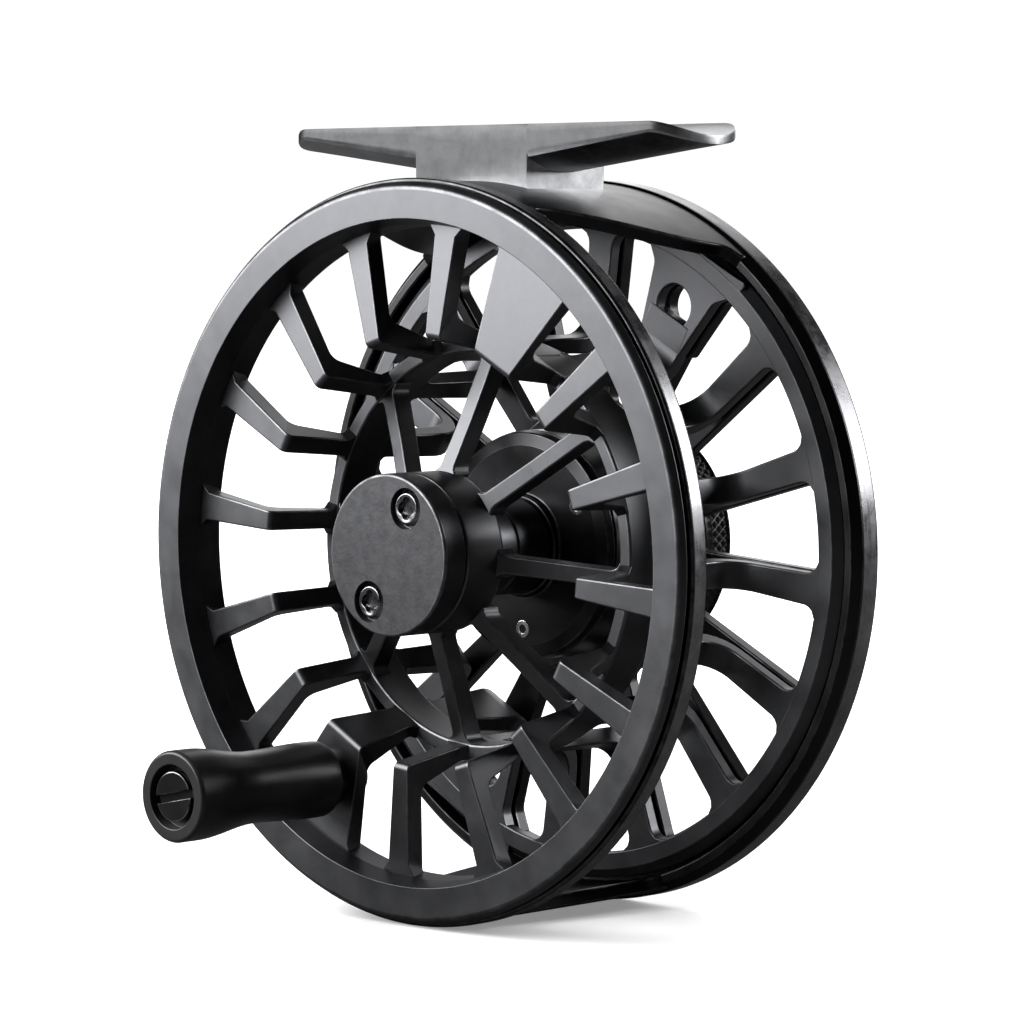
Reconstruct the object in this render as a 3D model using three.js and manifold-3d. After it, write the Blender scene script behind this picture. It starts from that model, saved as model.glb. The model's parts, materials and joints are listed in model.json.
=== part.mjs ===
// Large-arbor fly reel: one-piece cage frame, ported spool, sealed disc drag, reel foot.
//
// Everything is laid out about the spool axis: +Y runs from the handle side to the drag-knob
// side, +Z points up to the rod, and y = 0 is the front lip of the cage. The whole assembly is
// then shifted so that the origin lies on the middle of the reel foot's rod seat. Millimetres.

import * as THREE from 'three';
import { mergeVertices } from 'three/addons/utils/BufferGeometryUtils.js';
import Module from 'manifold-3d';

const wasm = await Module();
wasm.setup();

// ---------------------------------------------------------------- driving dimensions

const GAP = 0.3;                     // clearance left between pieces that touch or turn
const FINE = 48;                     // facets round the rims
const MEDIUM = 24;                   // facets round hub-sized pieces
const INNER = 16;                    // facets round the pieces sealed inside
const COARSE = 12;                   // facets round screws and pins

// cage frame
const FRAME_R = 46;                  // outer radius of both rims
const FRAME_BORE_R = 43.9;           // the spool turns inside this
const FRONT_RIM_DEPTH = 2.5;
const REAR_LIP_Y = 30;
const FRAME_DEPTH = 34.2;
const BRIDGE_R = 45.7;               // the bridges are sunk a little below the rims
const PLATE_FRONT_Y = 32.3;          // front of the rear plate, behind the spool flange
const PLATE_RIM_R = 40.6;

// spokes: one angular grid for the spool's front, its rear flange and the frame's rear plate
const SPOKE_COUNT = 16;
const SPOKE_STEP = 360 / SPOKE_COUNT;
const WEIGHT_ANGLE = 61.5;           // solid balance web, opposite the handle web
const HANDLE_ANGLE = WEIGHT_ANGLE - 180;

// spool
const SPOOL_RIM_R = 45.65;
const SPOOL_SKIRT_R = 43.4;          // the part of the rim that dips into the frame
const SPOOL_FACE_Y = -1.4;
const SPOOL_WINDOW_R = 41;
const ARBOR_IN_R = 24.5;
const ARBOR_OUT_R = 26.4;
const FLANGE_Y = [30, 31.7];
const FLANGE_R = 43.2;
const FLANGE_WINDOW_R = 39.8;
const FLANGE_HOLE_R = 2.75;
const FLANGE_HOLE_AT = 34.3;
const RIB_COUNT = 8;
const RIB_FIRST_ANGLE = 39;
const HUB_R = 10;
const HUB_FRONT_Y = -0.2;
const SLEEVE_R = 6;
const SLEEVE_END_Y = 18.6;
const SLEEVE_BORE_R = 5.2;

// hub cap
const CAP_Y = [-4.1, -0.5];
const CAP_SCREW_AT = 6.65;
const CAP_SCREW_ANGLES = [WEIGHT_ANGLE, HANDLE_ANGLE];

// bridges: half angle in degrees at the front rim and at the rear rim
const TOP_BRIDGE_HALF = [21.8, 34.5];
const BOTTOM_BRIDGE_HALF = [12, 16.5];

// handle
const HANDLE_AT = 33.1;
const GRIP_Y = [-25.3, -0.5];
const POST_R = 1.7;

// drag
const SHAFT_R = 3;
const HOUSING_R = 14.5;
const HOUSING_BORE_R = 11.6;
const COVER_Y = 20;                  // front face of the drag cover
const HOUSING_FRONT_Y = 21.7;
const HOUSING_FLOOR_Y = 34.5;
const HOUSING_BACK_Y = 37.4;
const THRUST_PIN_AT = 8.5;
const THRUST_PIN_ANGLES = [90, 210, 330];
const DETENT_AT = 11;
const DETENT_ANGLE = 30;
const COVER_SCREW_AT = 13.05;
const COVER_SCREW_ANGLES = [30, 150, 270];
const CLICK_TEETH = 20;
const PAWL_PIVOT_AT = 9.2;
const KNOB_R = 15;
const KNOB_Y = [37.8, 42.8];
const KNOB_BOSS_R = 4;

// foot
const FOOT_Y = [10.6, 24.6];
const FOOT_MID_Y = (FOOT_Y[0] + FOOT_Y[1]) / 2;
const FOOT_EDGE_Z = 52.65;           // long edges of the rod seat
const FOOT_SEAT_Z = 50.85;           // bottom of the rod seat
const FOOT_HALF_LENGTH = 34.3;
const FOOT_SHOULDER_X = 29.3;         // where the rounded ends begin
const FOOT_TIP_HALF = 1.2;
const FOOT_STRIP_HALF = 0.8;          // flat strip along the bottom of the rod seat
const PEDESTAL_HALF_X = 9.5;
const FOOT_SCREW_X = 5;

// ---------------------------------------------------------------- materials

function finish(name, color, roughness, metalness) {
  const material = new THREE.MeshStandardMaterial({ color, roughness, metalness });
  material.name = name;
  return material;
}

const FINISHES = {
  spool: finish('satin_black', 0x3a3b3d, 0.45, 0.85),
  frame: finish('gloss_black', 0x222325, 0.35, 0.85),
  foot: finish('bare_aluminium', 0xa9abac, 0.4, 1),
  cap: finish('hub_cap_grey', 0x4b4c4d, 0.6, 0.8),
  steel: finish('steel', 0x9a9c9e, 0.3, 1),
  darkSteel: finish('dark_steel', 0x2b2b2c, 0.35, 0.9),
  grip: finish('grip_black', 0x151516, 0.4, 0.1),
  carbon: finish('carbon_disc', 0x1d1d1e, 0.7, 0),
  bronze: finish('bronze', 0x9c7440, 0.4, 1),
  rubber: finish('seal_rubber', 0x0d0d0d, 0.8, 0),
};

// ---------------------------------------------------------------- solid helpers

/** A closed three.js geometry as a solid: shared corners merged, slivers on the axis dropped. */
function solidOf(geometry) {
  geometry.deleteAttribute('normal');
  geometry.deleteAttribute('uv');
  const merged = mergeVertices(geometry);
  const corners = merged.index.array;
  const triangles = [];
  for (let i = 0; i < corners.length; i += 3) {
    const [a, b, c] = corners.slice(i, i + 3);
    if (a !== b && b !== c && c !== a) triangles.push(a, b, c);
  }
  const vertProperties = Float32Array.from(merged.attributes.position.array);
  const triVerts = Uint32Array.from(triangles);
  return new wasm.Manifold(new wasm.Mesh({ numProp: 3, vertProperties, triVerts }));
}

/** A profile of [radius, y] corners, counter-clockwise, turned about the spool axis. */
function turned(profile, facets = MEDIUM) {
  const onAxis = profile[0][0] === 0;
  const outline = onAxis ? profile : [...profile, profile[0]];
  const points = outline.map(([radius, y]) => new THREE.Vector2(radius, y));
  return solidOf(new THREE.LatheGeometry(points, facets));
}

function ring(inner, outer, y0, y1, facets = MEDIUM) {
  return turned([[inner, y0], [outer, y0], [outer, y1], [inner, y1]], facets);
}

function disc(radius, y0, y1, facets = MEDIUM) {
  return turned([[0, y0], [radius, y0], [radius, y1], [0, y1]], facets);
}

/** Moves a solid that was made on the axis out to a radius and an angle from +X towards +Z. */
function placeAt(solid, radius, angle) {
  const turn = THREE.MathUtils.degToRad(angle);
  return solid.translate([radius * Math.cos(turn), 0, radius * Math.sin(turn)]);
}

/** Turns a solid that was made along +X round the spool axis, from +X towards +Z. */
function swing(solid, angle) {
  return solid.rotate([0, -angle, 0]);
}

/** Stands a solid that was made along +Y up along +Z, at x and y. */
function standUp(solid, x, y) {
  return solid.rotate([90, 0, 0]).translate([x, y, 0]);
}

/**
 * A closed skin over cross-sections. Each section is a loop of [x, y, z] corners, the first
 * half running one way and the second half running back, so its end is capped by strips.
 */
function skinned(sections) {
  const count = sections[0].length;
  const positions = sections.flat(2);
  const faces = [];
  for (let s = 0; s + 1 < sections.length; s += 1) {
    for (let i = 0; i < count; i += 1) {
      const next = (i + 1) % count;
      const [a, b] = [s * count + i, s * count + next];
      const [c, d] = [b + count, a + count];
      faces.push(a, b, c, a, c, d);
    }
  }
  const last = (sections.length - 1) * count;
  for (let i = 0; i + 1 < count / 2; i += 1) {
    const [a, b, c, d] = [i, i + 1, count - 2 - i, count - 1 - i];
    faces.push(a, c, b, a, d, c);
    faces.push(last + a, last + b, last + c, last + a, last + c, last + d);
  }
  const geometry = new THREE.BufferGeometry();
  geometry.setAttribute('position', new THREE.Float32BufferAttribute(positions, 3));
  geometry.setIndex(faces);
  const solid = solidOf(geometry);
  if (solid.volume() > 0) return solid;
  geometry.setIndex(faces.reverse());
  return solidOf(geometry);
}

/** A flat outline of [x, z] corners, counter-clockwise seen from the front, y0 to y1 deep. */
function slab(outline, y0, y1) {
  const shape = new THREE.Shape(outline.map(([x, z]) => new THREE.Vector2(x, z)));
  const geometry = new THREE.ExtrudeGeometry(shape, { depth: y1 - y0, bevelEnabled: false });
  return solidOf(geometry.rotateX(Math.PI / 2).translate(0, y1, 0));
}

/**
 * A bar in the plane of the axis, along +X. Each station gives its near corner and its far
 * corner as [radius, y] and the bar's half width there.
 */
function barThrough(stations) {
  return skinned(stations.map(([near, far, half]) => [
    [near[0], near[1], -half],
    [far[0], far[1], -half],
    [far[0], far[1], half],
    [near[0], near[1], half],
  ]));
}

const union = (solids) => wasm.Manifold.union(solids);

// ---------------------------------------------------------------- spokes

const SPOKE_ANGLES = Array.from({ length: SPOKE_COUNT }, (_, k) => WEIGHT_ANGLE + k * SPOKE_STEP);
const isWeb = (angle) => angle === WEIGHT_ANGLE || angle === HANDLE_ANGLE + 360;

/** Front spoke: out from the rim, round the bend, and back along the arbor to its band. */
function frontSpoke(rootHalf, bendHalf, backHalf) {
  return barThrough([
    [[41.8, 2], [41.8, 4.6], rootHalf],
    [[27, 0.9], [29.6, 3.7], bendHalf],
    [[26.3, 1.5], [28.6, 4.6], bendHalf],
    [[24.6, 12], [26.35, 12], backHalf],
  ]);
}

/** Rear spoke: in from the flange, round its bend, and forward to the arbor band. */
function rearSpoke(rootHalf, bendHalf, frontHalf) {
  return barThrough([
    [[26.2, 16.5], [24.6, 16.5], frontHalf],
    [[26.4, 26.5], [24.2, 27.5], frontHalf],
    [[27.6, 29], [26, 31], bendHalf],
    [[30.5, 30], [30, 31.7], bendHalf],
    [[41.5, 30], [41.5, 31.7], rootHalf],
  ]);
}

/** Bar of the frame's rear plate, from the drag housing out to the rear rim. */
function plateBar(half) {
  return barThrough([
    [[13, PLATE_FRONT_Y], [13, FRAME_DEPTH], 1.5],
    [[18, PLATE_FRONT_Y], [18, FRAME_DEPTH], 1.6],
    [[41.2, PLATE_FRONT_Y], [41.2, FRAME_DEPTH], half],
  ]);
}

// ---------------------------------------------------------------- spool

function spoolRim() {
  return turned([
    [SPOOL_WINDOW_R, SPOOL_FACE_Y],
    [44.4, SPOOL_FACE_Y],
    [45.2, -1.15],
    [SPOOL_RIM_R, -0.75],
    [SPOOL_RIM_R, -0.4],
    [SPOOL_SKIRT_R, -0.4],
    [SPOOL_SKIRT_R, 4.8],
    [SPOOL_SKIRT_R - 0.5, 5.2],
    [40.1, 5.2],
    [40.3, 2],
  ], FINE);
}

function spoolFlange() {
  return turned([
    [FLANGE_WINDOW_R, FLANGE_Y[0]],
    [42, FLANGE_Y[0]],
    [FLANGE_R, 31],
    [FLANGE_R, FLANGE_Y[1]],
    [FLANGE_WINDOW_R, FLANGE_Y[1]],
  ], FINE);
}

function spoolHub() {
  return turned([
    [3.4, HUB_FRONT_Y],
    [HUB_R, HUB_FRONT_Y],
    [HUB_R, 6.2],
    [7, 7.4],
    [SLEEVE_R, 8.6],
    [SLEEVE_R, SLEEVE_END_Y],
    [SLEEVE_BORE_R, SLEEVE_END_Y],
    [SLEEVE_BORE_R, 2.9],
    [3.4, 2.9],
  ]);
}

/** Rib sloping back from the hub to the arbor band. */
function hubRib() {
  return barThrough([
    [[8.5, 4.2], [8.5, 6.8], 1.15],
    [[24.9, 11.5], [24.9, 14.6], 1.1],
  ]);
}

function makeSpool() {
  const parts = [spoolRim(), spoolFlange(), spoolHub(), ring(ARBOR_IN_R, ARBOR_OUT_R, 11, 17, FINE)];
  for (const angle of SPOKE_ANGLES) {
    const front = isWeb(angle) ? frontSpoke(7.1, 3.3, 1.9) : frontSpoke(1.95, 1.25, 1.2);
    const rear = isWeb(angle) ? rearSpoke(6.4, 3.6, 2.2) : rearSpoke(2.1, 1.75, 1.5);
    parts.push(swing(front, angle), swing(rear, angle));
  }
  for (let k = 0; k < RIB_COUNT; k += 1) {
    parts.push(swing(hubRib(), RIB_FIRST_ANGLE + (k * 360) / RIB_COUNT));
  }
  const handleBoss = disc(3.5, -0.1, 4.4, COARSE);
  parts.push(placeAt(handleBoss, HANDLE_AT, HANDLE_ANGLE));
  const holes = [placeAt(disc(POST_R + GAP, -2, 8, COARSE), HANDLE_AT, HANDLE_ANGLE)];
  for (const angle of [WEIGHT_ANGLE, HANDLE_ANGLE]) {
    const hole = disc(FLANGE_HOLE_R, FLANGE_Y[0] - 2, FLANGE_Y[1] + 2, COARSE);
    holes.push(placeAt(hole, FLANGE_HOLE_AT, angle));
  }
  for (const angle of CAP_SCREW_ANGLES) {
    holes.push(placeAt(disc(1.25, HUB_FRONT_Y - 1, 2.4, COARSE), CAP_SCREW_AT, angle));
  }
  return union(parts).subtract(union(holes));
}

// ---------------------------------------------------------------- hub cap and its screws

function makeHubCap() {
  const [front, back] = CAP_Y;
  const cap = turned([
    [0, front],
    [HUB_R - 0.3, front],
    [HUB_R, front + 0.3],
    [HUB_R, back],
    [4.9, back],
    [4.9, -2.7],
    [0, -2.7],
  ], 32);
  const holes = CAP_SCREW_ANGLES.map((angle) => {
    const stepped = turned([
      [0, front - 1], [2.5, front - 1], [2.5, -2.8], [1.3, -2.8], [1.3, 0], [0, 0],
    ], COARSE);
    return placeAt(stepped, CAP_SCREW_AT, angle);
  });
  return cap.subtract(union(holes));
}

/** Six-lobed socket, cut from the front into a screw head. */
function lobedSocket(radius, y0, y1) {
  const outline = Array.from({ length: 24 }, (_, i) => {
    const turn = (i * Math.PI) / 12;
    const reach = radius * (0.86 + 0.14 * Math.cos(6 * turn));
    return [reach * Math.cos(turn), reach * Math.sin(turn)];
  });
  return slab(outline, y0, y1);
}

function capScrew(angle) {
  const body = turned([
    [0, -3.9], [1.9, -3.9], [2.2, -3.6], [2.2, -3.1], [1, -3.1], [1, 2], [0, 2],
  ], COARSE);
  return placeAt(body.subtract(lobedSocket(1.25, -5, -3.4)), CAP_SCREW_AT, angle);
}

/** Open spring clip in the groove of the shaft, which keeps the spool on. */
function retainingClip() {
  const mouth = slab([[0, -2], [6, -2], [6, 2], [0, 2]], -2, 0);
  return ring(2.65, 4.4, -1.15, -0.8, INNER).subtract(mouth);
}

// ---------------------------------------------------------------- handle

function handleGrip() {
  const [end, base] = GRIP_Y;
  return turned([
    [3.95, end],
    [5.15, end],
    [5.65, end + 0.5],
    [5.65, -22],
    [5.3, -19.6],
    [4.8, -16.4],
    [4.52, -12.5],
    [4.5, -8],
    [4.65, -4],
    [4.8, -1.4],
    [4.3, base],
    [2.8, base],
    [2.8, -23.6],
    [3.95, -23.6],
  ], MEDIUM);
}

function handlePost() {
  const body = turned([
    [0, -23], [POST_R, -23], [POST_R, 4.7], [3, 4.7], [3, 5.2], [2.6, 5.5], [0, 5.5],
  ], COARSE);
  return body.subtract(disc(1.2, -24, -18, COARSE));
}

function handleScrew() {
  const body = turned([
    [0, -25.1], [2.8, -25.1], [3.1, -24.8], [3.1, -23.9], [0.9, -23.9], [0.9, -18.4], [0, -18.4],
  ], COARSE);
  const slot = slab([[-4, -0.5], [4, -0.5], [4, 0.5], [-4, 0.5]], -26, -24.6);
  return body.subtract(slot.rotate([0, -12, 0]));
}

// ---------------------------------------------------------------- frame

/** Wall between the rims. Its half angle about the middle changes from front to rear. */
function bridge(middle, frontHalf, rearHalf) {
  const [front, back, rows, columns] = [1, 31, 6, 10];
  const sections = [];
  for (let row = 0; row <= rows; row += 1) {
    const share = row / rows;
    const eased = share * share * (3 - 2 * share);
    const half = frontHalf + (rearHalf - frontHalf) * eased;
    const arc = (radius, direction) => Array.from({ length: columns + 1 }, (_, i) => {
      const turn = THREE.MathUtils.degToRad(middle + direction * half * (1 - (2 * i) / columns));
      return [radius * Math.cos(turn), front + share * (back - front), radius * Math.sin(turn)];
    });
    sections.push([...arc(BRIDGE_R, -1), ...arc(FRAME_BORE_R, 1)]);
  }
  return skinned(sections);
}

function frontRim() {
  return turned([
    [FRAME_BORE_R, 0],
    [FRAME_R - 0.4, 0],
    [FRAME_R, 0.4],
    [FRAME_R, FRONT_RIM_DEPTH],
    [FRAME_BORE_R, FRONT_RIM_DEPTH],
  ], FINE);
}

function rearRim() {
  return turned([
    [FRAME_BORE_R, REAR_LIP_Y],
    [FRAME_R - 1, REAR_LIP_Y],
    [FRAME_R, REAR_LIP_Y + 1.1],
    [FRAME_R, FRAME_DEPTH - 0.3],
    [FRAME_R - 0.3, FRAME_DEPTH],
    [PLATE_RIM_R, FRAME_DEPTH],
    [PLATE_RIM_R, PLATE_FRONT_Y],
    [FRAME_BORE_R, PLATE_FRONT_Y],
  ], FINE);
}

/** Cup that holds the drag, with the boss behind it that the drag knob turns on. */
function dragHousing() {
  return turned([
    [0, 36.9],
    [5.3, 36.9],
    [5.3, HOUSING_FLOOR_Y],
    [HOUSING_BORE_R, HOUSING_FLOOR_Y],
    [HOUSING_BORE_R, HOUSING_FRONT_Y],
    [HOUSING_R, HOUSING_FRONT_Y],
    [HOUSING_R, HOUSING_BACK_Y],
    [KNOB_BOSS_R, HOUSING_BACK_Y],
    [KNOB_BOSS_R, 40.6],
    [1.5, 40.6],
    [1.5, 37.7],
    [0, 37.7],
  ], MEDIUM);
}

function makeFrame() {
  const parts = [
    frontRim(),
    rearRim(),
    dragHousing(),
    ring(HOUSING_R - 1, 17.5, PLATE_FRONT_Y, FRAME_DEPTH),
    bridge(90, ...TOP_BRIDGE_HALF),
    bridge(-90, ...BOTTOM_BRIDGE_HALF),
  ];
  for (const angle of SPOKE_ANGLES) parts.push(swing(plateBar(isWeb(angle) ? 6 : 2.2), angle));
  const holes = [];
  for (const angle of THRUST_PIN_ANGLES) {
    holes.push(placeAt(disc(1.25, 33, 39, 12), THRUST_PIN_AT, angle));
  }
  for (const angle of COVER_SCREW_ANGLES) {
    holes.push(placeAt(disc(0.95, 20, 27.4, 12), COVER_SCREW_AT, angle));
  }
  holes.push(placeAt(disc(1.3, 35, 39, 12), DETENT_AT, DETENT_ANGLE));
  for (const x of [-FOOT_SCREW_X, FOOT_SCREW_X]) {
    holes.push(standUp(disc(1.7, 40, 48, COARSE), x, FOOT_MID_Y));
  }
  for (const angle of SPOKE_ANGLES.filter(isWeb)) {
    const hole = disc(FLANGE_HOLE_R, PLATE_FRONT_Y - 1, FRAME_DEPTH + 1, COARSE);
    holes.push(placeAt(hole, FLANGE_HOLE_AT, angle));
  }
  return union(parts).subtract(union(holes));
}

// ---------------------------------------------------------------- foot

/** Height of the arm's underside, at its edges and along its middle, at a distance from centre. */
function armUnderside(x) {
  const share = Math.max(0, (x - PEDESTAL_HALF_X) / (FOOT_SHOULDER_X - PEDESTAL_HALF_X));
  return { edge: 48.6 + 2.7 * Math.min(share, 1), middle: 46.7 + 2.5 * share };
}

/** Half width of the foot in plan: full to the shoulders, then an elliptical end. */
function armHalfWidth(x) {
  const full = FOOT_MID_Y - FOOT_Y[0];
  if (x <= FOOT_SHOULDER_X) return full;
  const share = (x - FOOT_SHOULDER_X) / (FOOT_HALF_LENGTH - FOOT_SHOULDER_X);
  return Math.max(FOOT_TIP_HALF, full * Math.sqrt(Math.max(0, 1 - share * share)));
}

/** Cross-section of the foot: hollow rod seat above, rounded belly below. */
function footSection(x) {
  const steps = 11;
  const half = armHalfWidth(Math.abs(x));
  const full = FOOT_MID_Y - FOOT_Y[0];
  const under = armUnderside(Math.abs(x));
  const seat = (across) => FOOT_SEAT_Z + (FOOT_EDGE_Z - FOOT_SEAT_Z) * (across / full) ** 2;
  const belly = (across) => Math.min(
    under.middle + (under.edge - under.middle) * (across / full) ** 2,
    seat(across) - 0.6,
  );
  const across = Array.from({ length: steps + 1 }, (_, i) => half * ((2 * i) / steps - 1));
  const flatSeat = (a) => (Math.abs(a) < FOOT_STRIP_HALF ? FOOT_SEAT_Z : seat(a));
  const top = across.map((a) => [x, FOOT_MID_Y + a, flatSeat(a)]);
  const bottom = across.map((a) => [x, FOOT_MID_Y + a, belly(a)]).reverse();
  return [...top, ...bottom];
}

function makeFoot() {
  const half = FOOT_HALF_LENGTH;
  const reach = half - FOOT_SHOULDER_X;
  const tip = [0, 0.3, 0.55, 0.75, 0.9, 0.97, 1].map((share) => FOOT_SHOULDER_X + reach * share);
  const stations = [...tip.map((x) => -x).reverse(), -PEDESTAL_HALF_X, PEDESTAL_HALF_X, ...tip];
  const plate = skinned(stations.map(footSection));
  const px = PEDESTAL_HALF_X;
  const pedestal = slab([[-px, 43], [px, 43], [px, 49.4], [-px, 49.4]], FOOT_Y[0], FOOT_Y[1]);
  const saddle = disc(BRIDGE_R + GAP, 0, 34, FINE);
  const holes = [-FOOT_SCREW_X, FOOT_SCREW_X].map((x) => standUp(disc(1.7, 42, 49, COARSE), x, FOOT_MID_Y));
  return plate.add(pedestal).subtract(saddle).subtract(union(holes));
}

/** Button-head screw from inside the cage up into the foot. */
function footScrew(x) {
  const body = turned([
    [0, 41.9], [1.6, 41.9], [2.3, 42.4], [2.3, 43], [1.4, 43], [1.4, 48.6], [0, 48.6],
  ], COARSE);
  const socket = disc(0.9, 41, 42.5, 6);
  return standUp(body.subtract(socket), x, FOOT_MID_Y);
}

// ---------------------------------------------------------------- drag

function makeDragCover() {
  const cover = turned([
    [4.6, 19],
    [6.4, 19],
    [6.4, COVER_Y],
    [HOUSING_R - 0.3, COVER_Y],
    [HOUSING_R, COVER_Y + 0.3],
    [HOUSING_R, HOUSING_FRONT_Y - GAP],
    [HOUSING_BORE_R - GAP, HOUSING_FRONT_Y - GAP],
    [HOUSING_BORE_R - GAP, 22.4],
    [5.3, 22.4],
    [5.3, 20.6],
    [SHAFT_R + GAP, 20.6],
    [SHAFT_R + GAP, 19.9],
    [4.6, 19.9],
  ], MEDIUM);
  const holes = COVER_SCREW_ANGLES.map((angle) => {
    const stepped = turned([[0, 18], [1.35, 18], [1.35, 20.7], [0.9, 20.7], [0.9, 23], [0, 23]], 12);
    return placeAt(stepped, COVER_SCREW_AT, angle);
  });
  return cover.subtract(union(holes));
}

function coverScrew(angle) {
  const body = turned([
    [0, 20.1], [1.1, 20.1], [1.1, 20.6], [0.65, 20.6], [0.65, 26.8], [0, 26.8],
  ], 12);
  return placeAt(body.subtract(disc(0.5, 19, 20.4, 6)), COVER_SCREW_AT, angle);
}

/** Shielded ball bearing as one ring, with the shield's groove in its front face. */
function bearing(y0, y1) {
  const [inner, outer] = [SHAFT_R + 0.2, 5];
  const groove = 0.25;
  return turned([
    [inner, y0], [3.7, y0], [3.7, y0 + groove], [4.5, y0 + groove], [4.5, y0], [outer, y0],
    [outer, y1], [inner, y1],
  ], 16);
}

/** Round-section seal ring about the axis. */
function sealRing(radius, thickness, y) {
  const profile = Array.from({ length: 6 }, (_, i) => {
    const turn = (i * Math.PI) / 3;
    return [radius + thickness * Math.cos(turn), y + thickness * Math.sin(turn)];
  });
  return turned(profile, INNER);
}

function dragShaft() {
  return turned([
    [0, -2.2], [2.6, -2.2], [SHAFT_R, -1.8], [SHAFT_R, -1.25], [2.35, -1.25], [2.35, -0.7],
    [SHAFT_R, -0.7], [SHAFT_R, 36.2], [2.7, 36.5], [0, 36.5],
  ], INNER);
}

function dragRotor() {
  return turned([
    [SHAFT_R + 0.2, 26.2], [4.3, 26.2], [4.3, 27.1], [11, 27.1], [11, 28.3], [4.3, 28.3],
    [4.3, 29.4], [SHAFT_R + 0.2, 29.4],
  ], INNER);
}

/** Toothed wheel on the shaft that sounds the click. */
function clickGear() {
  const [tip, root] = [6.6, 5.7];
  const outline = [];
  for (let tooth = 0; tooth < CLICK_TEETH; tooth += 1) {
    for (const [radius, share] of [[root, 0], [root, 0.3], [tip, 0.5], [tip, 0.8]]) {
      const turn = ((tooth + share - 0.15) * 2 * Math.PI) / CLICK_TEETH;
      outline.push([radius * Math.cos(turn), radius * Math.sin(turn)]);
    }
  }
  return slab(outline, 22.8, 24).subtract(disc(SHAFT_R + 0.2, 22, 25, INNER));
}

/** Pawl on a pin at twelve o'clock, its nose lifted just clear of the click gear's teeth. */
function clickPawl() {
  const z = PAWL_PIVOT_AT;
  const eye = disc(1.5, 22.9, 23.9, COARSE).translate([0, 0, z]);
  const nose = slab([[-0.9, z], [-0.22, 6.9], [0.22, 6.9], [0.9, z]], 22.9, 23.9);
  const bore = disc(0.85, 22, 25, COARSE).translate([0, 0, z]);
  return eye.add(nose).subtract(bore);
}

/** Leaf spring beside the pawl. */
function pawlSpring() {
  return slab([[2, 8.6], [7.4, 8.2], [7.5, 8.5], [2.3, 8.9], [2.3, 10.3], [2, 10.3]], 22.9, 23.9);
}

/** Coned spring washer. */
function springWasher(y) {
  return turned([[3.6, y], [8, y + 0.35], [8, y + 0.6], [3.6, y + 0.25]], INNER);
}

function makeKnob() {
  const [front, back] = KNOB_Y;
  return turned([
    [KNOB_BOSS_R + GAP, 38.3],
    [9.6, 38.3],
    [9.6, 38.9],
    [12.4, 38.9],
    [12.4, 38.3],
    [13, 38.3],
    [13, front],
    [KNOB_R - 0.3, front],
    [KNOB_R, front + 0.3],
    [KNOB_R, back - 0.5],
    [KNOB_R - 0.5, back],
    [9.4, back],
    [9, 41.6],
    [KNOB_BOSS_R + GAP, 41.6],
  ], 32);
}

function knobScrew() {
  const body = turned([
    [0, 38.1], [1.2, 38.1], [1.2, 41.9], [6.5, 41.9], [6.5, 42.3], [6.2, 42.6], [0, 42.6],
  ]);
  return body.subtract(disc(1.6, 42, 44, 6));
}

/** Small coil spring under the detent ball. */
function detentSpring() {
  const [turns, radius, wire, y0, y1] = [3, 0.75, 0.17, 35.3, 36.3];
  const points = Array.from({ length: turns * 8 + 1 }, (_, i) => {
    const turn = (i * 2 * Math.PI) / 8;
    const y = y0 + ((y1 - y0) * i) / (turns * 8);
    return new THREE.Vector3(radius * Math.cos(turn), y, radius * Math.sin(turn));
  });
  const section = new THREE.Shape();
  section.absarc(0, 0, wire, 0, 2 * Math.PI);
  const geometry = new THREE.ExtrudeGeometry(section, {
    extrudePath: new THREE.CatmullRomCurve3(points),
    steps: turns * 8,
    curveSegments: 2,
    bevelEnabled: false,
  });
  return placeAt(solidOf(geometry), DETENT_AT, DETENT_ANGLE);
}

function detentBall() {
  const ball = solidOf(new THREE.SphereGeometry(1, 10, 6).translate(0, 37.5, 0));
  return placeAt(ball, DETENT_AT, DETENT_ANGLE);
}

// ---------------------------------------------------------------- one-way clutch

const ROLLER_COUNT = 6;
const ROLLER_AT = 3.85;
const ROLLER_R = 0.45;

function clutchCage() {
  const slots = [];
  for (let k = 0; k < ROLLER_COUNT; k += 1) {
    slots.push(placeAt(disc(ROLLER_R + 0.2, 7.9, 13.6, 8), ROLLER_AT, (k * 360) / ROLLER_COUNT));
  }
  return ring(3.3, 4.3, 7.4, 14.1, INNER).subtract(union(slots));
}

// ---------------------------------------------------------------- assembly

const reel = new THREE.Group();
reel.name = 'fly_reel';
const assembly = new THREE.Group();
assembly.position.set(0, -FOOT_MID_Y, -FOOT_SEAT_Z);
reel.add(assembly);

/** Adds one piece to the assembly as a mesh. */
function piece(name, solid, material) {
  const { vertProperties, triVerts } = solid.getMesh();
  const geometry = new THREE.BufferGeometry();
  geometry.setAttribute('position', new THREE.BufferAttribute(Float32Array.from(vertProperties), 3));
  geometry.setIndex(new THREE.BufferAttribute(Uint32Array.from(triVerts), 1));
  geometry.computeVertexNormals();
  const mesh = new THREE.Mesh(geometry, material);
  mesh.name = name;
  assembly.add(mesh);
}

const { spool, frame, foot, cap, steel, darkSteel, grip, carbon, bronze, rubber } = FINISHES;

piece('frame', makeFrame(), frame);
piece('reel_foot', makeFoot(), foot);
[-FOOT_SCREW_X, FOOT_SCREW_X].forEach((x, i) => piece(`foot_screw_${i + 1}`, footScrew(x), steel));

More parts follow.
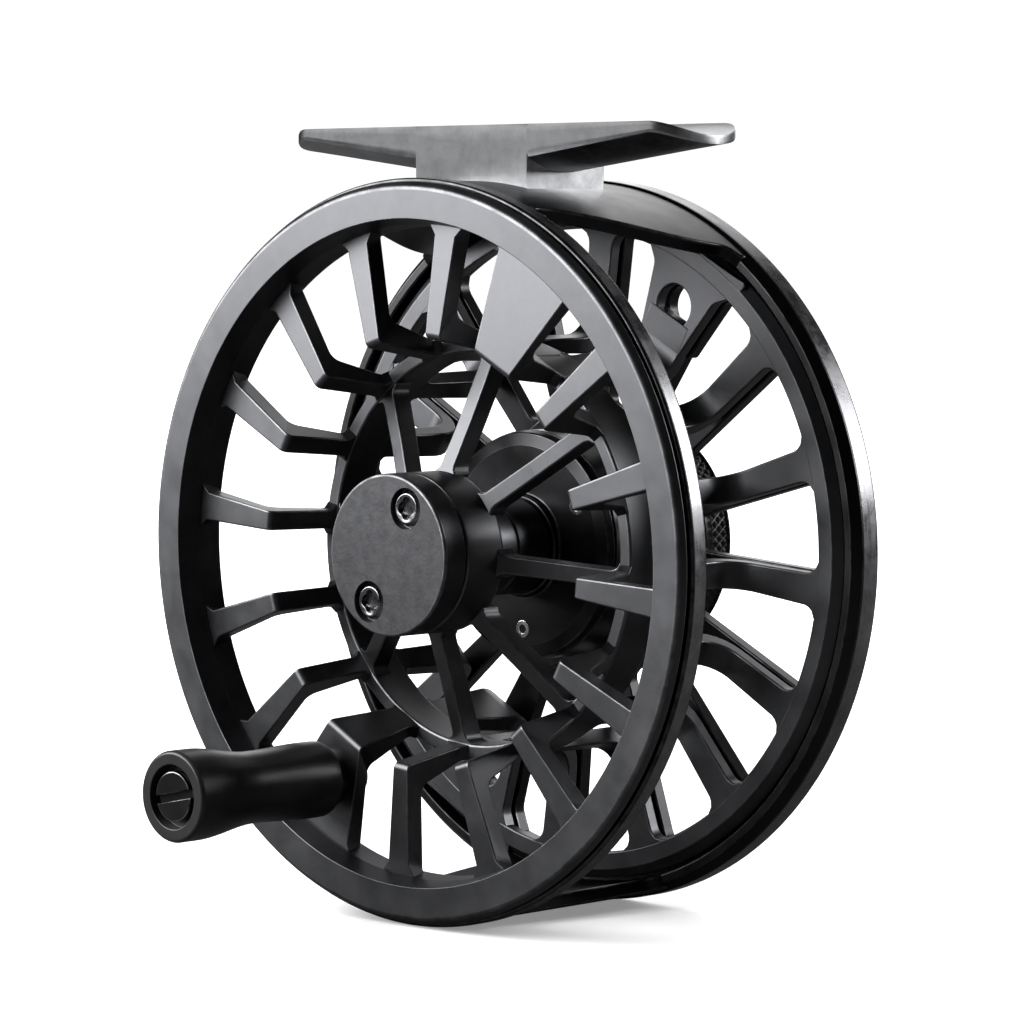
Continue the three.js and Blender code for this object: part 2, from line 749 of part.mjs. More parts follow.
piece('spool', makeSpool(), spool);
piece('hub_cap', makeHubCap(), cap);
CAP_SCREW_ANGLES.forEach((angle, i) => piece(`cap_screw_${i + 1}`, capScrew(angle), darkSteel));
piece('retaining_clip', retainingClip(), steel);
piece('spool_bearing_front', bearing(3.1, 5.3), steel);
piece('spool_bearing_rear', bearing(15.6, 18.2), steel);
piece('clutch_shell', ring(4.6, 5, 7, 14.5, INNER), steel);
piece('clutch_cage', clutchCage(), bronze);
for (let k = 0; k < ROLLER_COUNT; k += 1) {
  const roller = placeAt(disc(ROLLER_R, 8.1, 13.4, 10), ROLLER_AT, (k * 360) / ROLLER_COUNT);
  piece(`clutch_roller_${k + 1}`, roller, steel);
}

const onHandle = (solid) => placeAt(solid, HANDLE_AT, HANDLE_ANGLE);
piece('handle_post', onHandle(handlePost()), steel);
piece('handle_bush', onHandle(ring(2, 2.5, -23, -1, INNER)), bronze);
piece('handle_grip', onHandle(handleGrip()), grip);
piece('handle_screw', onHandle(handleScrew()), darkSteel);

piece('drag_cover', makeDragCover(), frame);
COVER_SCREW_ANGLES.forEach((angle, i) => piece(`cover_screw_${i + 1}`, coverScrew(angle), steel));
piece('shaft_seal', sealRing(3.85, 0.45, 19.45), rubber);
piece('drag_bearing_front', bearing(20.8, 22.4), steel);
piece('drag_bearing_rear', bearing(34.7, 36.6), steel);
piece('drag_shaft', dragShaft(), steel);
piece('click_gear', clickGear(), steel);
piece('click_pawl', clickPawl(), steel);
piece('pawl_pin', disc(0.6, 22.7, 24.6, 12).translate([0, 0, PAWL_PIVOT_AT]), steel);
piece('pawl_spring', pawlSpring(), steel);
piece('stack_washer', ring(4.6, 11.3, 24.9, 25.6, INNER), steel);
piece('drag_disc_front', ring(4.6, 11, 25.9, 26.8, INNER), carbon);
piece('drag_rotor', dragRotor(), steel);
piece('drag_disc_rear', ring(4.6, 11, 28.6, 29.5, INNER), carbon);
piece('pressure_plate', ring(3.5, 11.2, 30.3, 31.1, INNER), steel);
[31.4, 32.2].forEach((y, i) => piece(`spring_washer_${i + 1}`, springWasher(y), steel));
piece('thrust_plate', ring(3.5, 11, 33.2, 34, INNER), steel);
THRUST_PIN_ANGLES.forEach((angle, i) => {
  piece(`thrust_pin_${i + 1}`, placeAt(disc(0.9, 34.3, 38, 12), THRUST_PIN_AT, angle), steel);
});
piece('detent_spring', detentSpring(), steel);
piece('detent_ball', detentBall(), steel);
piece('drag_knob', makeKnob(), frame);
piece('knob_screw', knobScrew(), darkSteel);

export default reel;
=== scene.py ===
"""Large-arbor fly reel: the looks of every piece, built round the packed reel.

All shapes are worked out in the reel's own millimetres: r is the distance from the spool axis,
y runs back from the front lip of the cage, and angles turn from +X towards +Z.
"""

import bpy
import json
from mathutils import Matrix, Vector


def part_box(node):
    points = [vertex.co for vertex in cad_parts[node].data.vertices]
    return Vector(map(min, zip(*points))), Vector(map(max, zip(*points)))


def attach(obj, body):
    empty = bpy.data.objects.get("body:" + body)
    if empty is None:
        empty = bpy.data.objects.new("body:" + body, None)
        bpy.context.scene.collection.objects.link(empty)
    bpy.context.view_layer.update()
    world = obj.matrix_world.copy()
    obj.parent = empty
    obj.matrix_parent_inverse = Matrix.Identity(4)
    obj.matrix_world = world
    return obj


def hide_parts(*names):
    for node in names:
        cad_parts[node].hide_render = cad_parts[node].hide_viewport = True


bl_info = {
    "name": "Fly Reel Bench",
    "version": (1, 0, 0),
    "blender": (4, 5, 0),
    "location": "3D View > Sidebar > Fly Reel",
    "description": "Builds the pieces, finishes and studio of a large-arbor fly reel",
    "category": "Object",
}

import json
import math

import bpy
import numpy as np
from mathutils import Vector

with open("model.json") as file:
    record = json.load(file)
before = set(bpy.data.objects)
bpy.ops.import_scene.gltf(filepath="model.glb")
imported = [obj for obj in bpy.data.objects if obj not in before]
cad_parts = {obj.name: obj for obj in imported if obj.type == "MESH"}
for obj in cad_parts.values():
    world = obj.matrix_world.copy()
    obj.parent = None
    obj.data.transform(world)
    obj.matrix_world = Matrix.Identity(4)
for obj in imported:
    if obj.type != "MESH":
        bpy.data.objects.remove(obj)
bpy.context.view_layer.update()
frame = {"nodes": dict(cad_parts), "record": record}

MM = 0.001

# The spool axis runs through the middle of the drag knob; the cage's front lip is y = 0.
KNOB_LOW, KNOB_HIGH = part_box("drag_knob")
FRAME_LOW, FRAME_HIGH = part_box("frame")
AXIS_X = (KNOB_LOW.x + KNOB_HIGH.x) / 2
AXIS_Z = (FRAME_LOW.z + FRAME_HIGH.z) / 2
LIP_Y = FRAME_LOW.y

SPOKES = 16
SPOKE_STEP = 360 / SPOKES
WEIGHT_ANGLE = 61.5
HANDLE_ANGLE = WEIGHT_ANGLE - 180
RIB_ANGLES = [39 + 45 * k for k in range(8)]
SPOKE_ANGLES = [WEIGHT_ANGLE + SPOKE_STEP * k for k in range(SPOKES)]
WEB_ANGLES = (SPOKE_ANGLES[0], SPOKE_ANGLES[SPOKES // 2])

HANDLE_AT = 33.1
CAP_SCREW_AT = 6.65
FRAME_R = 46.0
BAND_PROUD = 0.015
BORE_R = 43.9
BRIDGE_R = 45.7
PLATE_Y = (32.3, 34.2)
FLANGE_Y = (30.0, 31.7)
SUNK = 0.02
BAR_SAMPLES = 44


# ---------------------------------------------------------------- settings

class ReelSizes(bpy.types.PropertyGroup):
    """Sizes and finenesses that a maker would change."""

    rim_facets: bpy.props.IntProperty(
        name="Rim facets", description="Facets round each rim", default=288, min=48)
    hub_facets: bpy.props.IntProperty(
        name="Hub facets", description="Facets round hub-sized pieces", default=128, min=24)
    edge_round: bpy.props.FloatProperty(
        name="Edge break", description="Radius of a machined edge, in mm", default=0.22, min=0.05)
    spoke_root: bpy.props.FloatProperty(
        name="Spoke root", description="Half width of a front spoke at the rim, in mm", default=1.95)
    spoke_bend: bpy.props.FloatProperty(
        name="Spoke bend", description="Half width of a front spoke at its bend, in mm", default=1.25)
    root_fillet: bpy.props.FloatProperty(
        name="Root fillet", description="Fillet where a spoke meets a rim, in mm", default=0.9)
    knurl_pitch: bpy.props.FloatProperty(
        name="Knurl pitch", description="Width of one knurl diamond, in mm", default=1.18)
    knurl_depth: bpy.props.FloatProperty(
        name="Knurl depth", description="Depth of the knurl, in mm", default=0.32)


class ReelColours(bpy.types.PropertyGroup):
    """Base colours of the finishes."""

    spool: bpy.props.FloatVectorProperty(
        name="Spool", description="Anodised spool", subtype="COLOR", default=(0.1, 0.101, 0.107))
    cage: bpy.props.FloatVectorProperty(
        name="Frame", description="Anodised frame", subtype="COLOR", default=(0.035, 0.035, 0.037))
    foot: bpy.props.FloatVectorProperty(
        name="Foot", description="Bare aluminium foot", subtype="COLOR", default=(0.5, 0.505, 0.52))
    cap: bpy.props.FloatVectorProperty(
        name="Hub cap", description="Hub cap", subtype="COLOR", default=(0.075, 0.075, 0.08))
    grip: bpy.props.FloatVectorProperty(
        name="Grip", description="Moulded grip", subtype="COLOR", default=(0.018, 0.018, 0.019))


def sizes():
    return bpy.context.scene.reel_sizes


def colours():
    return bpy.context.scene.reel_colours


# ---------------------------------------------------------------- outlines

def unit(vector):
    return vector / max(np.linalg.norm(vector), 1e-9)


def rounded(corners, closed=True, steps=5, crisp=0.04):
    """Corners [u, v, radius] with each one turned into an arc.

    The arc touches both sides; its centre lies on the corner's bisector at radius over the
    sine of the half angle. One more point stands a hair past each end of the arc, which keeps
    the flats flat when shaded. A corner on a straight run stays one point. Gives the points,
    a mask that is 1 on arcs, and each point's place along the corner list.
    """
    spots = np.array([c[:2] for c in corners], float)
    count = len(spots)
    points, mask, place = [], [], []
    for k, (_, _, radius) in enumerate(corners):
        here = spots[k]
        before, after = spots[k - 1], spots[(k + 1) % count]
        back, ahead = unit(before - here), unit(after - here)
        half = math.acos(np.clip(back @ ahead, -1, 1)) / 2
        straight = math.pi / 2 - half < 1e-6
        if straight or (not closed and k in (0, count - 1)):
            points.append(here[None])
            mask.append([0.0])
            place.append([float(k)])
            continue
        cut = min(radius / math.tan(half), 0.45 * min(
            np.linalg.norm(before - here), np.linalg.norm(after - here)))
        radius = cut * math.tan(half)
        centre = here + unit(back + ahead) * radius / math.sin(half)
        start, end = here + back * cut - centre, here + ahead * cut - centre
        sweep = math.pi - 2 * half
        t = np.linspace(0, 1, steps + 1)[:, None]
        arc = centre + (np.sin((1 - t) * sweep) * start + np.sin(t * sweep) * end) / math.sin(sweep)
        gap = min(crisp, cut * 0.3)
        points += [(here + back * (cut + gap))[None], arc, (here + ahead * (cut + gap))[None]]
        mask.append([0.0] + [1.0] * (steps + 1) + [0.0])
        place.append(k + np.linspace(-0.03, 0.03, steps + 3))
    return np.concatenate(points), np.concatenate(mask), np.concatenate(place)


def smooth(share):
    share = np.clip(share, 0, 1)
    return share * share * (3 - 2 * share)


def fillet(distance, radius):
    """Extra half width beside a wall: a quarter circle that leaves the wall at its radius."""
    inside = np.clip(radius - distance, 0, radius)
    return radius - np.sqrt(np.clip(radius * radius - inside * inside, 0, None))


# ---------------------------------------------------------------- closed shells

def shell(points, edge, wrap_rows=False, ladder=False):
    """Quads over a grid of points, wrapped across its columns.

    Open ends are closed by a fan to their middle, or by a ladder of quads between the column
    pairs that mirror each other. A shell whose signed volume comes out negative has its faces
    turned round.
    """
    rows, columns = points.shape[:2]
    index = np.arange(rows * columns).reshape(rows, columns)
    right = np.roll(index, -1, axis=1)
    lower = np.roll(index, -1, axis=0)
    lower_right = np.roll(right, -1, axis=0)
    stop = rows if wrap_rows else rows - 1
    quads = np.stack([index, lower, lower_right, right], axis=-1)[:stop].reshape(-1, 4)
    verts = points.reshape(-1, 3)
    edge = np.broadcast_to(edge, (rows, columns)).reshape(-1)
    tris = np.empty((0, 3), int)
    if ladder:
        rung = np.arange(columns // 2 - 1)
        across = np.stack([rung, rung + 1, columns - 2 - rung, columns - 1 - rung], axis=-1)
        quads = np.concatenate([quads, across, across[:, ::-1] + index[-1, 0]])
    elif not wrap_rows:
        middles = np.stack([points[0].mean(0), points[-1].mean(0)])
        first, last = len(verts), len(verts) + 1
        near = np.stack([index[0], right[0], np.full(columns, first)], axis=-1)
        far = np.stack([right[-1], index[-1], np.full(columns, last)], axis=-1)
        verts, tris = np.concatenate([verts, middles]), np.concatenate([near, far])
        edge = np.concatenate([edge, [0.0, 0.0]])
    split = np.concatenate([quads[:, :3], quads[:, [0, 2, 3]], tris])
    a, b, c = (verts[split[:, k]] for k in range(3))
    if np.einsum("ij,ij->i", a, np.cross(b, c)).sum() < 0:
        quads, tris = quads[:, ::-1], tris[:, ::-1]
    return {"verts": verts, "quads": quads, "tris": tris, "edge": edge}


def revolve(corners, facets, steps=5, wobble=None):
    """Surface of revolution: (r, y) goes to (r cos t, y, r sin t), with every corner rounded.

    An outline that starts and ends on the axis closes with a small fan at each pole. wobble
    may change the radius over the grid of (radius, y, angle).
    """
    on_axis = corners[0][0] == 0
    profile, mask, _ = rounded(corners, closed=not on_axis, steps=steps)
    if on_axis:
        profile[[0, -1], 0] = 0.02
    turn = np.arange(facets) * 2 * math.pi / facets
    radius = np.repeat(profile[:, :1], facets, axis=1)
    height = np.repeat(profile[:, 1:], facets, axis=1)
    if wobble is not None:
        radius = wobble(radius, height, turn[None])
    points = np.stack([radius * np.cos(turn), height, radius * np.sin(turn)], axis=-1)
    return shell(points, mask[:, None], wrap_rows=not on_axis)


def ring_of(inner, outer, y0, y1, edge, facets):
    """Plain ring with all four edges broken."""
    return revolve([(inner, y0, edge), (outer, y0, edge), (outer, y1, edge), (inner, y1, edge)],
                   facets)


def bar_columns(steps=3, crisp=0.05):
    """Rounded-rectangle columns: corner signs, arc direction and shading offset of each point."""
    sign_u, sign_v, arc, shift_u, shift_v, mask = [], [], [], [], [], []
    for k, (su, sv) in enumerate([(1, -1), (1, 1), (-1, 1), (-1, -1)]):
        start = -math.pi / 2 + k * math.pi / 2
        angles = np.linspace(start, start + math.pi / 2, steps + 1)
        angles = np.concatenate([[angles[0]], angles, [angles[-1]]])
        offset = np.zeros(len(angles))
        offset[0], offset[-1] = -crisp, crisp
        sign_u += [su] * len(angles)
        sign_v += [sv] * len(angles)
        arc.append(angles)
        shift_u.append(-np.sin(angles) * offset)
        shift_v.append(np.cos(angles) * offset)
        mask += [0.0] + [1.0] * (steps + 1) + [0.0]
    rounds = [np.concatenate(part) for part in (arc, shift_u, shift_v)]
    return (np.array(sign_u), np.array(sign_v), *rounds, np.array(mask))


def section(half, thick, round_r):
    """Points (u, v) of a rounded rectangle, half wide each way and v from 0 to thick, per row."""
    sign_u, sign_v, arc, shift_u, shift_v, mask = bar_columns()
    half, thick = half[:, None], thick[:, None]
    edge = np.minimum(round_r, 0.42 * np.minimum(half, thick / 2) * 2)
    u = sign_u * (half - edge) + edge * np.cos(arc) + shift_u
    v = sign_v * (thick / 2 - edge) + edge * np.sin(arc) + shift_v + thick / 2
    return u, v, mask


def swing(points, angle):
    """Turns points round the spool axis, from +X towards +Z."""
    c, s = math.cos(math.radians(angle)), math.sin(math.radians(angle))
    x, y, z = points[..., 0], points[..., 1], points[..., 2]
    return np.stack([x * c - z * s, y, x * s + z * c], axis=-1)


def bar(near, far, halves, angle, flare):
    """A bar in the plane of the axis, carried along two rounded lines.

    near and far hold [r, y, bend radius] corners; halves gives the half width at each corner,
    and flare(r, y) adds to it beside a wall. Each section is a rounded rectangle between them.
    """
    near_line, _, place = rounded(near, closed=False, steps=6)
    far_line, _, _ = rounded(far, closed=False, steps=6)
    fine = np.unique(np.concatenate([place, np.linspace(0, place[-1], BAR_SAMPLES)]))
    n = np.stack([np.interp(fine, place, near_line[:, k]) for k in (0, 1)], axis=-1)
    f = np.stack([np.interp(fine, place, far_line[:, k]) for k in (0, 1)], axis=-1)
    middle = (n + f) / 2
    half = np.interp(fine, np.arange(len(halves)), halves) + flare(middle[:, 0], middle[:, 1])
    across = f - n
    thick = np.linalg.norm(across, axis=1)
    u, v, mask = section(half, thick, sizes().edge_round)
    plane = n[:, None] + (across / thick[:, None])[:, None] * v[..., None]
    points = np.stack([plane[..., 0], plane[..., 1], u], axis=-1)
    return shell(swing(points, angle), mask[None], ladder=True)


def moved(part, radius, angle):
    """Moves a shell made on the axis out to a radius and an angle."""
    turn = math.radians(angle)
    shift = np.array([radius * math.cos(turn), 0, radius * math.sin(turn)])
    return {**part, "verts": part["verts"] + shift}


def stood_up(part, x, y):
    """Stands a shell made along +Y up along +Z, at x and y."""
    v = part["verts"]
    return {**part, "verts": np.stack([v[:, 0] + x, y - v[:, 2], v[:, 1]], axis=-1)}


def piece(name, parts, material, body, replaced=()):
    """Joins shells into one object in the packed model's frame, riding on its body."""
    offset, verts, faces, edge = 0, [], [], []
    for part in parts:
        verts.append(part["verts"])
        edge.append(part["edge"])
        faces += (part["quads"] + offset).tolist() + (part["tris"] + offset).tolist()
        offset += len(part["verts"])
    place = np.concatenate(verts) * MM + np.array([AXIS_X, LIP_Y, AXIS_Z])
    mesh = bpy.data.meshes.new(name)
    mesh.from_pydata(place.tolist(), [], faces)
    # The edge mask, 1 on rounded arcs, later paints broken edges paler: partly wear, partly a painted
    # highlight.
    mesh.attributes.new("edge", "FLOAT", "POINT").data.foreach_set("value", np.concatenate(edge))
    mesh.polygons.foreach_set("use_smooth", np.ones(len(mesh.polygons), bool))
    mesh.materials.append(material)
    made = bpy.data.objects.new(name, mesh)
    bpy.context.scene.collection.objects.link(made)
    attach(made, body)
    if replaced:
        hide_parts(*replaced)
    return made


# ---------------------------------------------------------------- shader groups

def new_group(name, inputs, outputs):
    group = bpy.data.node_groups.new(name, "ShaderNodeTree")
    for label, kind, value in inputs:
        socket = group.interface.new_socket(label, in_out="INPUT", socket_type=kind)
        socket.default_value = value
    for label, kind in outputs:
        group.interface.new_socket(label, in_out="OUTPUT", socket_type=kind)
    nodes = group.nodes
    return group, nodes.new("NodeGroupInput"), nodes.new("NodeGroupOutput")


def math_node(tree, operation, first, second):
    node = tree.nodes.new("ShaderNodeMath")
    node.operation = operation
    for socket, value in zip(node.inputs, (first, second)):
        if isinstance(value, (int, float)):
            socket.default_value = value
        else:
            tree.links.new(value, socket)
    return node.outputs[0]


def noise_node(tree, vector, scale, detail=3.0, roughness=0.55):
    node = tree.nodes.new("ShaderNodeTexNoise")
    node.inputs["Detail"].default_value = detail
    node.inputs["Roughness"].default_value = roughness
    tree.links.new(vector, node.inputs["Vector"])
    if isinstance(scale, (int, float)):
        node.inputs["Scale"].default_value = scale
    else:
        tree.links.new(scale, node.inputs["Scale"])
    return node.outputs["Fac"]


def contrast(tree, value, low, high):
    """Stretches a noise value, so that low and high become 0 and 1."""
    node = tree.nodes.new("ShaderNodeMapRange")
    node.inputs["From Min"].default_value = low
    node.inputs["From Max"].default_value = high
    tree.links.new(value, node.inputs["Value"])
    return node.outputs[0]


def mix_colour(tree, factor, first, second):
    node = tree.nodes.new("ShaderNodeMix")
    node.data_type = "RGBA"
    for slot, value in ((0, factor), (6, first), (7, second)):
        socket = node.inputs[slot]
        if isinstance(value, (int, float, tuple)):
            socket.default_value = value
        else:
            tree.links.new(value, socket)
    return node.outputs[2]


def grain_group():
    """Bead-blasted anodising: fine pits over a slow drift, as a height and a roughness."""
    group, given, result = new_group(
        "blasted_grain",
        [("Grain Scale", "NodeSocketFloat", 6000.0), ("Drift Scale", "NodeSocketFloat", 120.0),
         ("Roughness", "NodeSocketFloat", 0.4), ("Variation", "NodeSocketFloat", 0.1)],
        [("Height", "NodeSocketFloat"), ("Roughness", "NodeSocketFloat"),
         ("Drift", "NodeSocketFloat")])
    where = group.nodes.new("ShaderNodeTexCoord").outputs["Object"]
    pits = noise_node(group, where, given.outputs["Grain Scale"], 2.0)
    slow = noise_node(group, where, given.outputs["Drift Scale"], 5.0, 0.65)
    drift = contrast(group, slow, 0.32, 0.68)
    spread = math_node(group, "SUBTRACT", math_node(group, "ADD", pits, drift), 1.0)
    change = math_node(group, "MULTIPLY", spread, given.outputs["Variation"])
    rough = math_node(group, "ADD", given.outputs["Roughness"], change)
    group.links.new(pits, result.inputs["Height"])
    group.links.new(rough, result.inputs["Roughness"])
    group.links.new(drift, result.inputs["Drift"])
    return group


def edge_wear_highlight_group():
    """Edge wear: broken edges, marked on the mesh, show through in patches."""
    group, given, result = new_group(
        "edge_wear_and_painted_highlight",
        [("Colour", "NodeSocketColor", (0.1, 0.1, 0.1, 1)),
         ("Worn Colour", "NodeSocketColor", (0.5, 0.5, 0.5, 1)),
         ("Amount", "NodeSocketFloat", 0.5), ("Patch Scale", "NodeSocketFloat", 700.0)],
        [("Colour", "NodeSocketColor"), ("Mask", "NodeSocketFloat")])
    marked = group.nodes.new("ShaderNodeAttribute")
    marked.attribute_name = "edge"
    where = group.nodes.new("ShaderNodeTexCoord").outputs["Object"]
    patch = noise_node(group, where, given.outputs["Patch Scale"], 3.0)
    # Mask of the paler edges: partly edge wear, partly a painted highlight.
    wear_and_highlight = math_node(group, "MULTIPLY", marked.outputs["Fac"], contrast(group, patch, 0.3, 0.65))
    mask = math_node(group, "MULTIPLY", wear_and_highlight, given.outputs["Amount"])
    mixed = mix_colour(group, mask, given.outputs["Colour"], given.outputs["Worn Colour"])
    group.links.new(mixed, result.inputs["Colour"])
    group.links.new(mask, result.inputs["Mask"])
    return group


def brushed_group():
    """Brushed or turned metal: noise stretched along one direction, with soft blotches."""
    group, given, result = new_group(
        "brushed_metal",
        [("Stretch", "NodeSocketVector", (1.0, 30.0, 30.0)), ("Scale", "NodeSocketFloat", 150.0),
         ("Roughness", "NodeSocketFloat", 0.3), ("Variation", "NodeSocketFloat", 0.15)],
        [("Height", "NodeSocketFloat"), ("Roughness", "NodeSocketFloat"),
         ("Blotch", "NodeSocketFloat")])
    where = group.nodes.new("ShaderNodeTexCoord").outputs["Object"]
    stretched = group.nodes.new("ShaderNodeVectorMath")
    stretched.operation = "MULTIPLY"
    group.links.new(where, stretched.inputs[0])
    group.links.new(given.outputs["Stretch"], stretched.inputs[1])
    lines = noise_node(group, stretched.outputs[0], given.outputs["Scale"], 4.0)
    blotch = contrast(group, noise_node(group, where, 260.0, 6.0, 0.7), 0.32, 0.68)
    spread = math_node(group, "SUBTRACT", math_node(group, "ADD", lines, blotch), 1.0)
    change = math_node(group, "MULTIPLY", spread, given.outputs["Variation"])
    rough = math_node(group, "ADD", given.outputs["Roughness"], change)
    group.links.new(lines, result.inputs["Height"])
    group.links.new(rough, result.inputs["Roughness"])
    group.links.new(blotch, result.inputs["Blotch"])
    return group


def placed(tree, group, **values):
    node = tree.nodes.new("ShaderNodeGroup")
    node.node_tree = group
    for label, value in values.items():
        node.inputs[label.replace("_", " ")].default_value = value
    return node


def new_material(name, metallic, specular=0.5, coat=0.0, coat_roughness=0.2):
    material = bpy.data.materials.new(name)
    material.use_nodes = True
    shader = material.node_tree.nodes["Principled BSDF"]
    shader.inputs["Metallic"].default_value = metallic
    shader.inputs["Specular IOR Level"].default_value = specular
    shader.inputs["Coat Weight"].default_value = coat
    shader.inputs["Coat Roughness"].default_value = coat_roughness
    return material, material.node_tree, shader


def add_bump(tree, shader, height, strength, distance):
    bump = tree.nodes.new("ShaderNodeBump")
    bump.inputs["Strength"].default_value = strength
    bump.inputs["Distance"].default_value = distance
    tree.links.new(height, bump.inputs["Height"])
    tree.links.new(bump.outputs["Normal"], shader.inputs["Normal"])


def rgba(colour, gain=1.0):
    return tuple(min(1.0, channel * gain) for channel in colour) + (1.0,)


def anodised(name, groups, colour, wear_and_highlight, metallic, roughness, grain=6500.0, drift=220.0, wear_and_highlight_amount=0.5,
             bump=0.25):
    """Blasted and anodised aluminium, paler in slow drifts and along its broken edges."""
    material, tree, shader = new_material(name, metallic)
    surface = placed(tree, groups["grain"], Grain_Scale=grain, Drift_Scale=drift,
                     Roughness=roughness, Variation=0.07)
    base = mix_colour(tree, surface.outputs["Drift"], rgba(colour, 0.88), rgba(colour, 1.12))
    # Paler broken edges: partly edge wear, partly a painted highlight.
    edge_wear_and_highlight = placed(tree, groups["edge"], Worn_Colour=rgba(wear_and_highlight), Amount=wear_and_highlight_amount, Patch_Scale=500.0)
    tree.links.new(base, edge_wear_and_highlight.inputs["Colour"])
    tree.links.new(edge_wear_and_highlight.outputs["Colour"], shader.inputs["Base Color"])
    tree.links.new(surface.outputs["Roughness"], shader.inputs["Roughness"])
    add_bump(tree, shader, surface.outputs["Height"], bump, 0.00003)
    return material


def brushed(name, groups, colour, roughness, stretch, scale, metallic=1.0, variation=0.2,
            bump=0.12):
    """Bare or blackened metal with tool marks along one direction."""
    material, tree, shader = new_material(name, metallic)
    surface = placed(tree, groups["brushed"], Stretch=stretch, Scale=scale,
                     Roughness=roughness, Variation=variation)
    base = mix_colour(tree, surface.outputs["Blotch"], rgba(colour, 0.72), rgba(colour, 1.25))
    # Paler broken edges: partly edge wear, partly a painted highlight.
    edge_wear_and_highlight = placed(tree, groups["edge"], Worn_Colour=rgba(colour, 1.5), Amount=0.6,
                        Patch_Scale=400.0)
    tree.links.new(base, edge_wear_and_highlight.inputs["Colour"])
    tree.links.new(edge_wear_and_highlight.outputs["Colour"], shader.inputs["Base Color"])
    tree.links.new(surface.outputs["Roughness"], shader.inputs["Roughness"])
    add_bump(tree, shader, surface.outputs["Height"], bump, 0.00003)
    return material


def woven_carbon(groups):
    """Carbon friction disc: two crossed sets of tows as a soft check."""
    material, tree, shader = new_material("carbon_weave", 0.0)
    where = tree.nodes.new("ShaderNodeTexCoord").outputs["Object"]
    weave = tree.nodes.new("ShaderNodeTexChecker")
    weave.inputs["Scale"].default_value = 900.0
    weave.inputs["Color1"].default_value = (0.02, 0.02, 0.02, 1)
    weave.inputs["Color2"].default_value = (0.045, 0.045, 0.045, 1)
    tree.links.new(where, weave.inputs["Vector"])
    surface = placed(tree, groups["grain"], Grain_Scale=3000.0, Roughness=0.6, Variation=0.2)
    tree.links.new(weave.outputs["Color"], shader.inputs["Base Color"])
    tree.links.new(surface.outputs["Roughness"], shader.inputs["Roughness"])
    add_bump(tree, shader, weave.outputs["Fac"], 0.2, 0.00005)
    return material


def moulded(name, groups, colour, roughness, coat=0.0):
    """Moulded plastic or rubber with a faint skin texture."""
    material, tree, shader = new_material(name, 0.0, 0.5, coat, 0.15)
    surface = placed(tree, groups["grain"], Grain_Scale=2600.0, Drift_Scale=160.0,
                     Roughness=roughness, Variation=0.05)
    base = mix_colour(tree, surface.outputs["Drift"], rgba(colour, 0.8), rgba(colour, 1.25))
    tree.links.new(base, shader.inputs["Base Color"])
    tree.links.new(surface.outputs["Roughness"], shader.inputs["Roughness"])
    add_bump(tree, shader, surface.outputs["Height"], 0.06, 0.00003)
    return material


FINISHES = {}


def make_finishes():
    groups = {"grain": grain_group(), "edge": edge_wear_highlight_group(), "brushed": brushed_group()}
    tone = colours()
    pale = (0.42, 0.42, 0.44)
    FINISHES.update(
        cap_screw=brushed("cap_screw", groups, (0.2, 0.2, 0.21), 0.25, (1.0, 1.0, 1.0), 900.0),
        # Each finish's edge amount sets how strongly its broken edges are painted paler, as wear and as
        # a painted highlight.
        spool_anodised=anodised("spool_anodised", groups, tone.spool, pale, 1.0, 0.4,
                                wear_and_highlight_amount=0.22, bump=0.12),
        frame_anodised=anodised("frame_anodised", groups, tone.cage, (0.3, 0.3, 0.31), 1.0, 0.32,
                                wear_and_highlight_amount=0.25, bump=0.1),
        # Rim bands: lighter than the frame, a painted highlight on the rims' outer faces.
        rim_metal=brushed("rim_metal", groups, (0.22, 0.22, 0.23), 0.3, (1.0, 25.0, 1.0), 160.0,
                          metallic=0.9),
        hub_cap=anodised("hub_cap", groups, tone.cap, pale, 1.0, 0.42, grain=2600.0, drift=800.0,
                         wear_and_highlight_amount=0.35, bump=0.5),
        foot_aluminium=brushed("foot_aluminium", groups, tone.foot, 0.36, (0.6, 9.0, 16.0), 130.0,
                               variation=0.12),
        dark_screw=anodised("dark_screw", groups, (0.03, 0.03, 0.031), (0.5, 0.5, 0.5), 1.0, 0.34,
                            wear_and_highlight_amount=0.5, bump=0.1),
        steel=brushed("steel", groups, (0.52, 0.52, 0.53), 0.25, (1.0, 1.0, 1.0), 1200.0),
        bronze=brushed("bronze", groups, (0.55, 0.36, 0.16), 0.32, (1.0, 1.0, 1.0), 1000.0),
        grip=moulded("grip", groups, tone.grip, 0.36),
        seal_rubber=moulded("seal_rubber", groups, (0.015, 0.015, 0.015), 0.6),
        carbon_disc=woven_carbon(groups),
    )


# ---------------------------------------------------------------- spool

def spool_rim():
    """Front rim: flat face, broad rounded shoulder, and the skirt that dips into the cage."""
    return revolve([
        (41.0, -1.4, 0.12), (44.9, -1.4, 0.7), (45.65, -0.4, 0.12), (43.4, -0.4, 0.1),
        (43.4, 5.2, 0.4), (40.1, 5.2, 0.3), (40.35, 1.6, 0.8),
    ], sizes().rim_facets, steps=6)


def front_spoke(angle):
    """Front spoke: out from the rim, round its bend and back along the arbor to the band."""
    wide = angle in WEB_ANGLES
    root, bend, back = (7.1, 3.3, 1.9) if wide else (sizes().spoke_root, sizes().spoke_bend, 1.2)
    fillet_r = sizes().root_fillet

    def flare(r, y):
        beside_rim = np.where(y < 8, 40.3 - r, 99)
        beside_band = np.where(r < 28, 11 - y, 99)
        return fillet(beside_rim, fillet_r) + fillet(beside_band, 0.9)

    near = [(42.4, 2.05, 0), (26.45, 0.9, 0.8), (24.58, 11.4, 1.0), (24.58, 15.5, 0)]
    far = [(42.4, 4.7, 0), (29.3, 3.75, 1.6), (26.32, 11.4, 1.0), (26.32, 15.5, 0)]
    return bar(near, far, (root, bend, back, back), angle, flare)


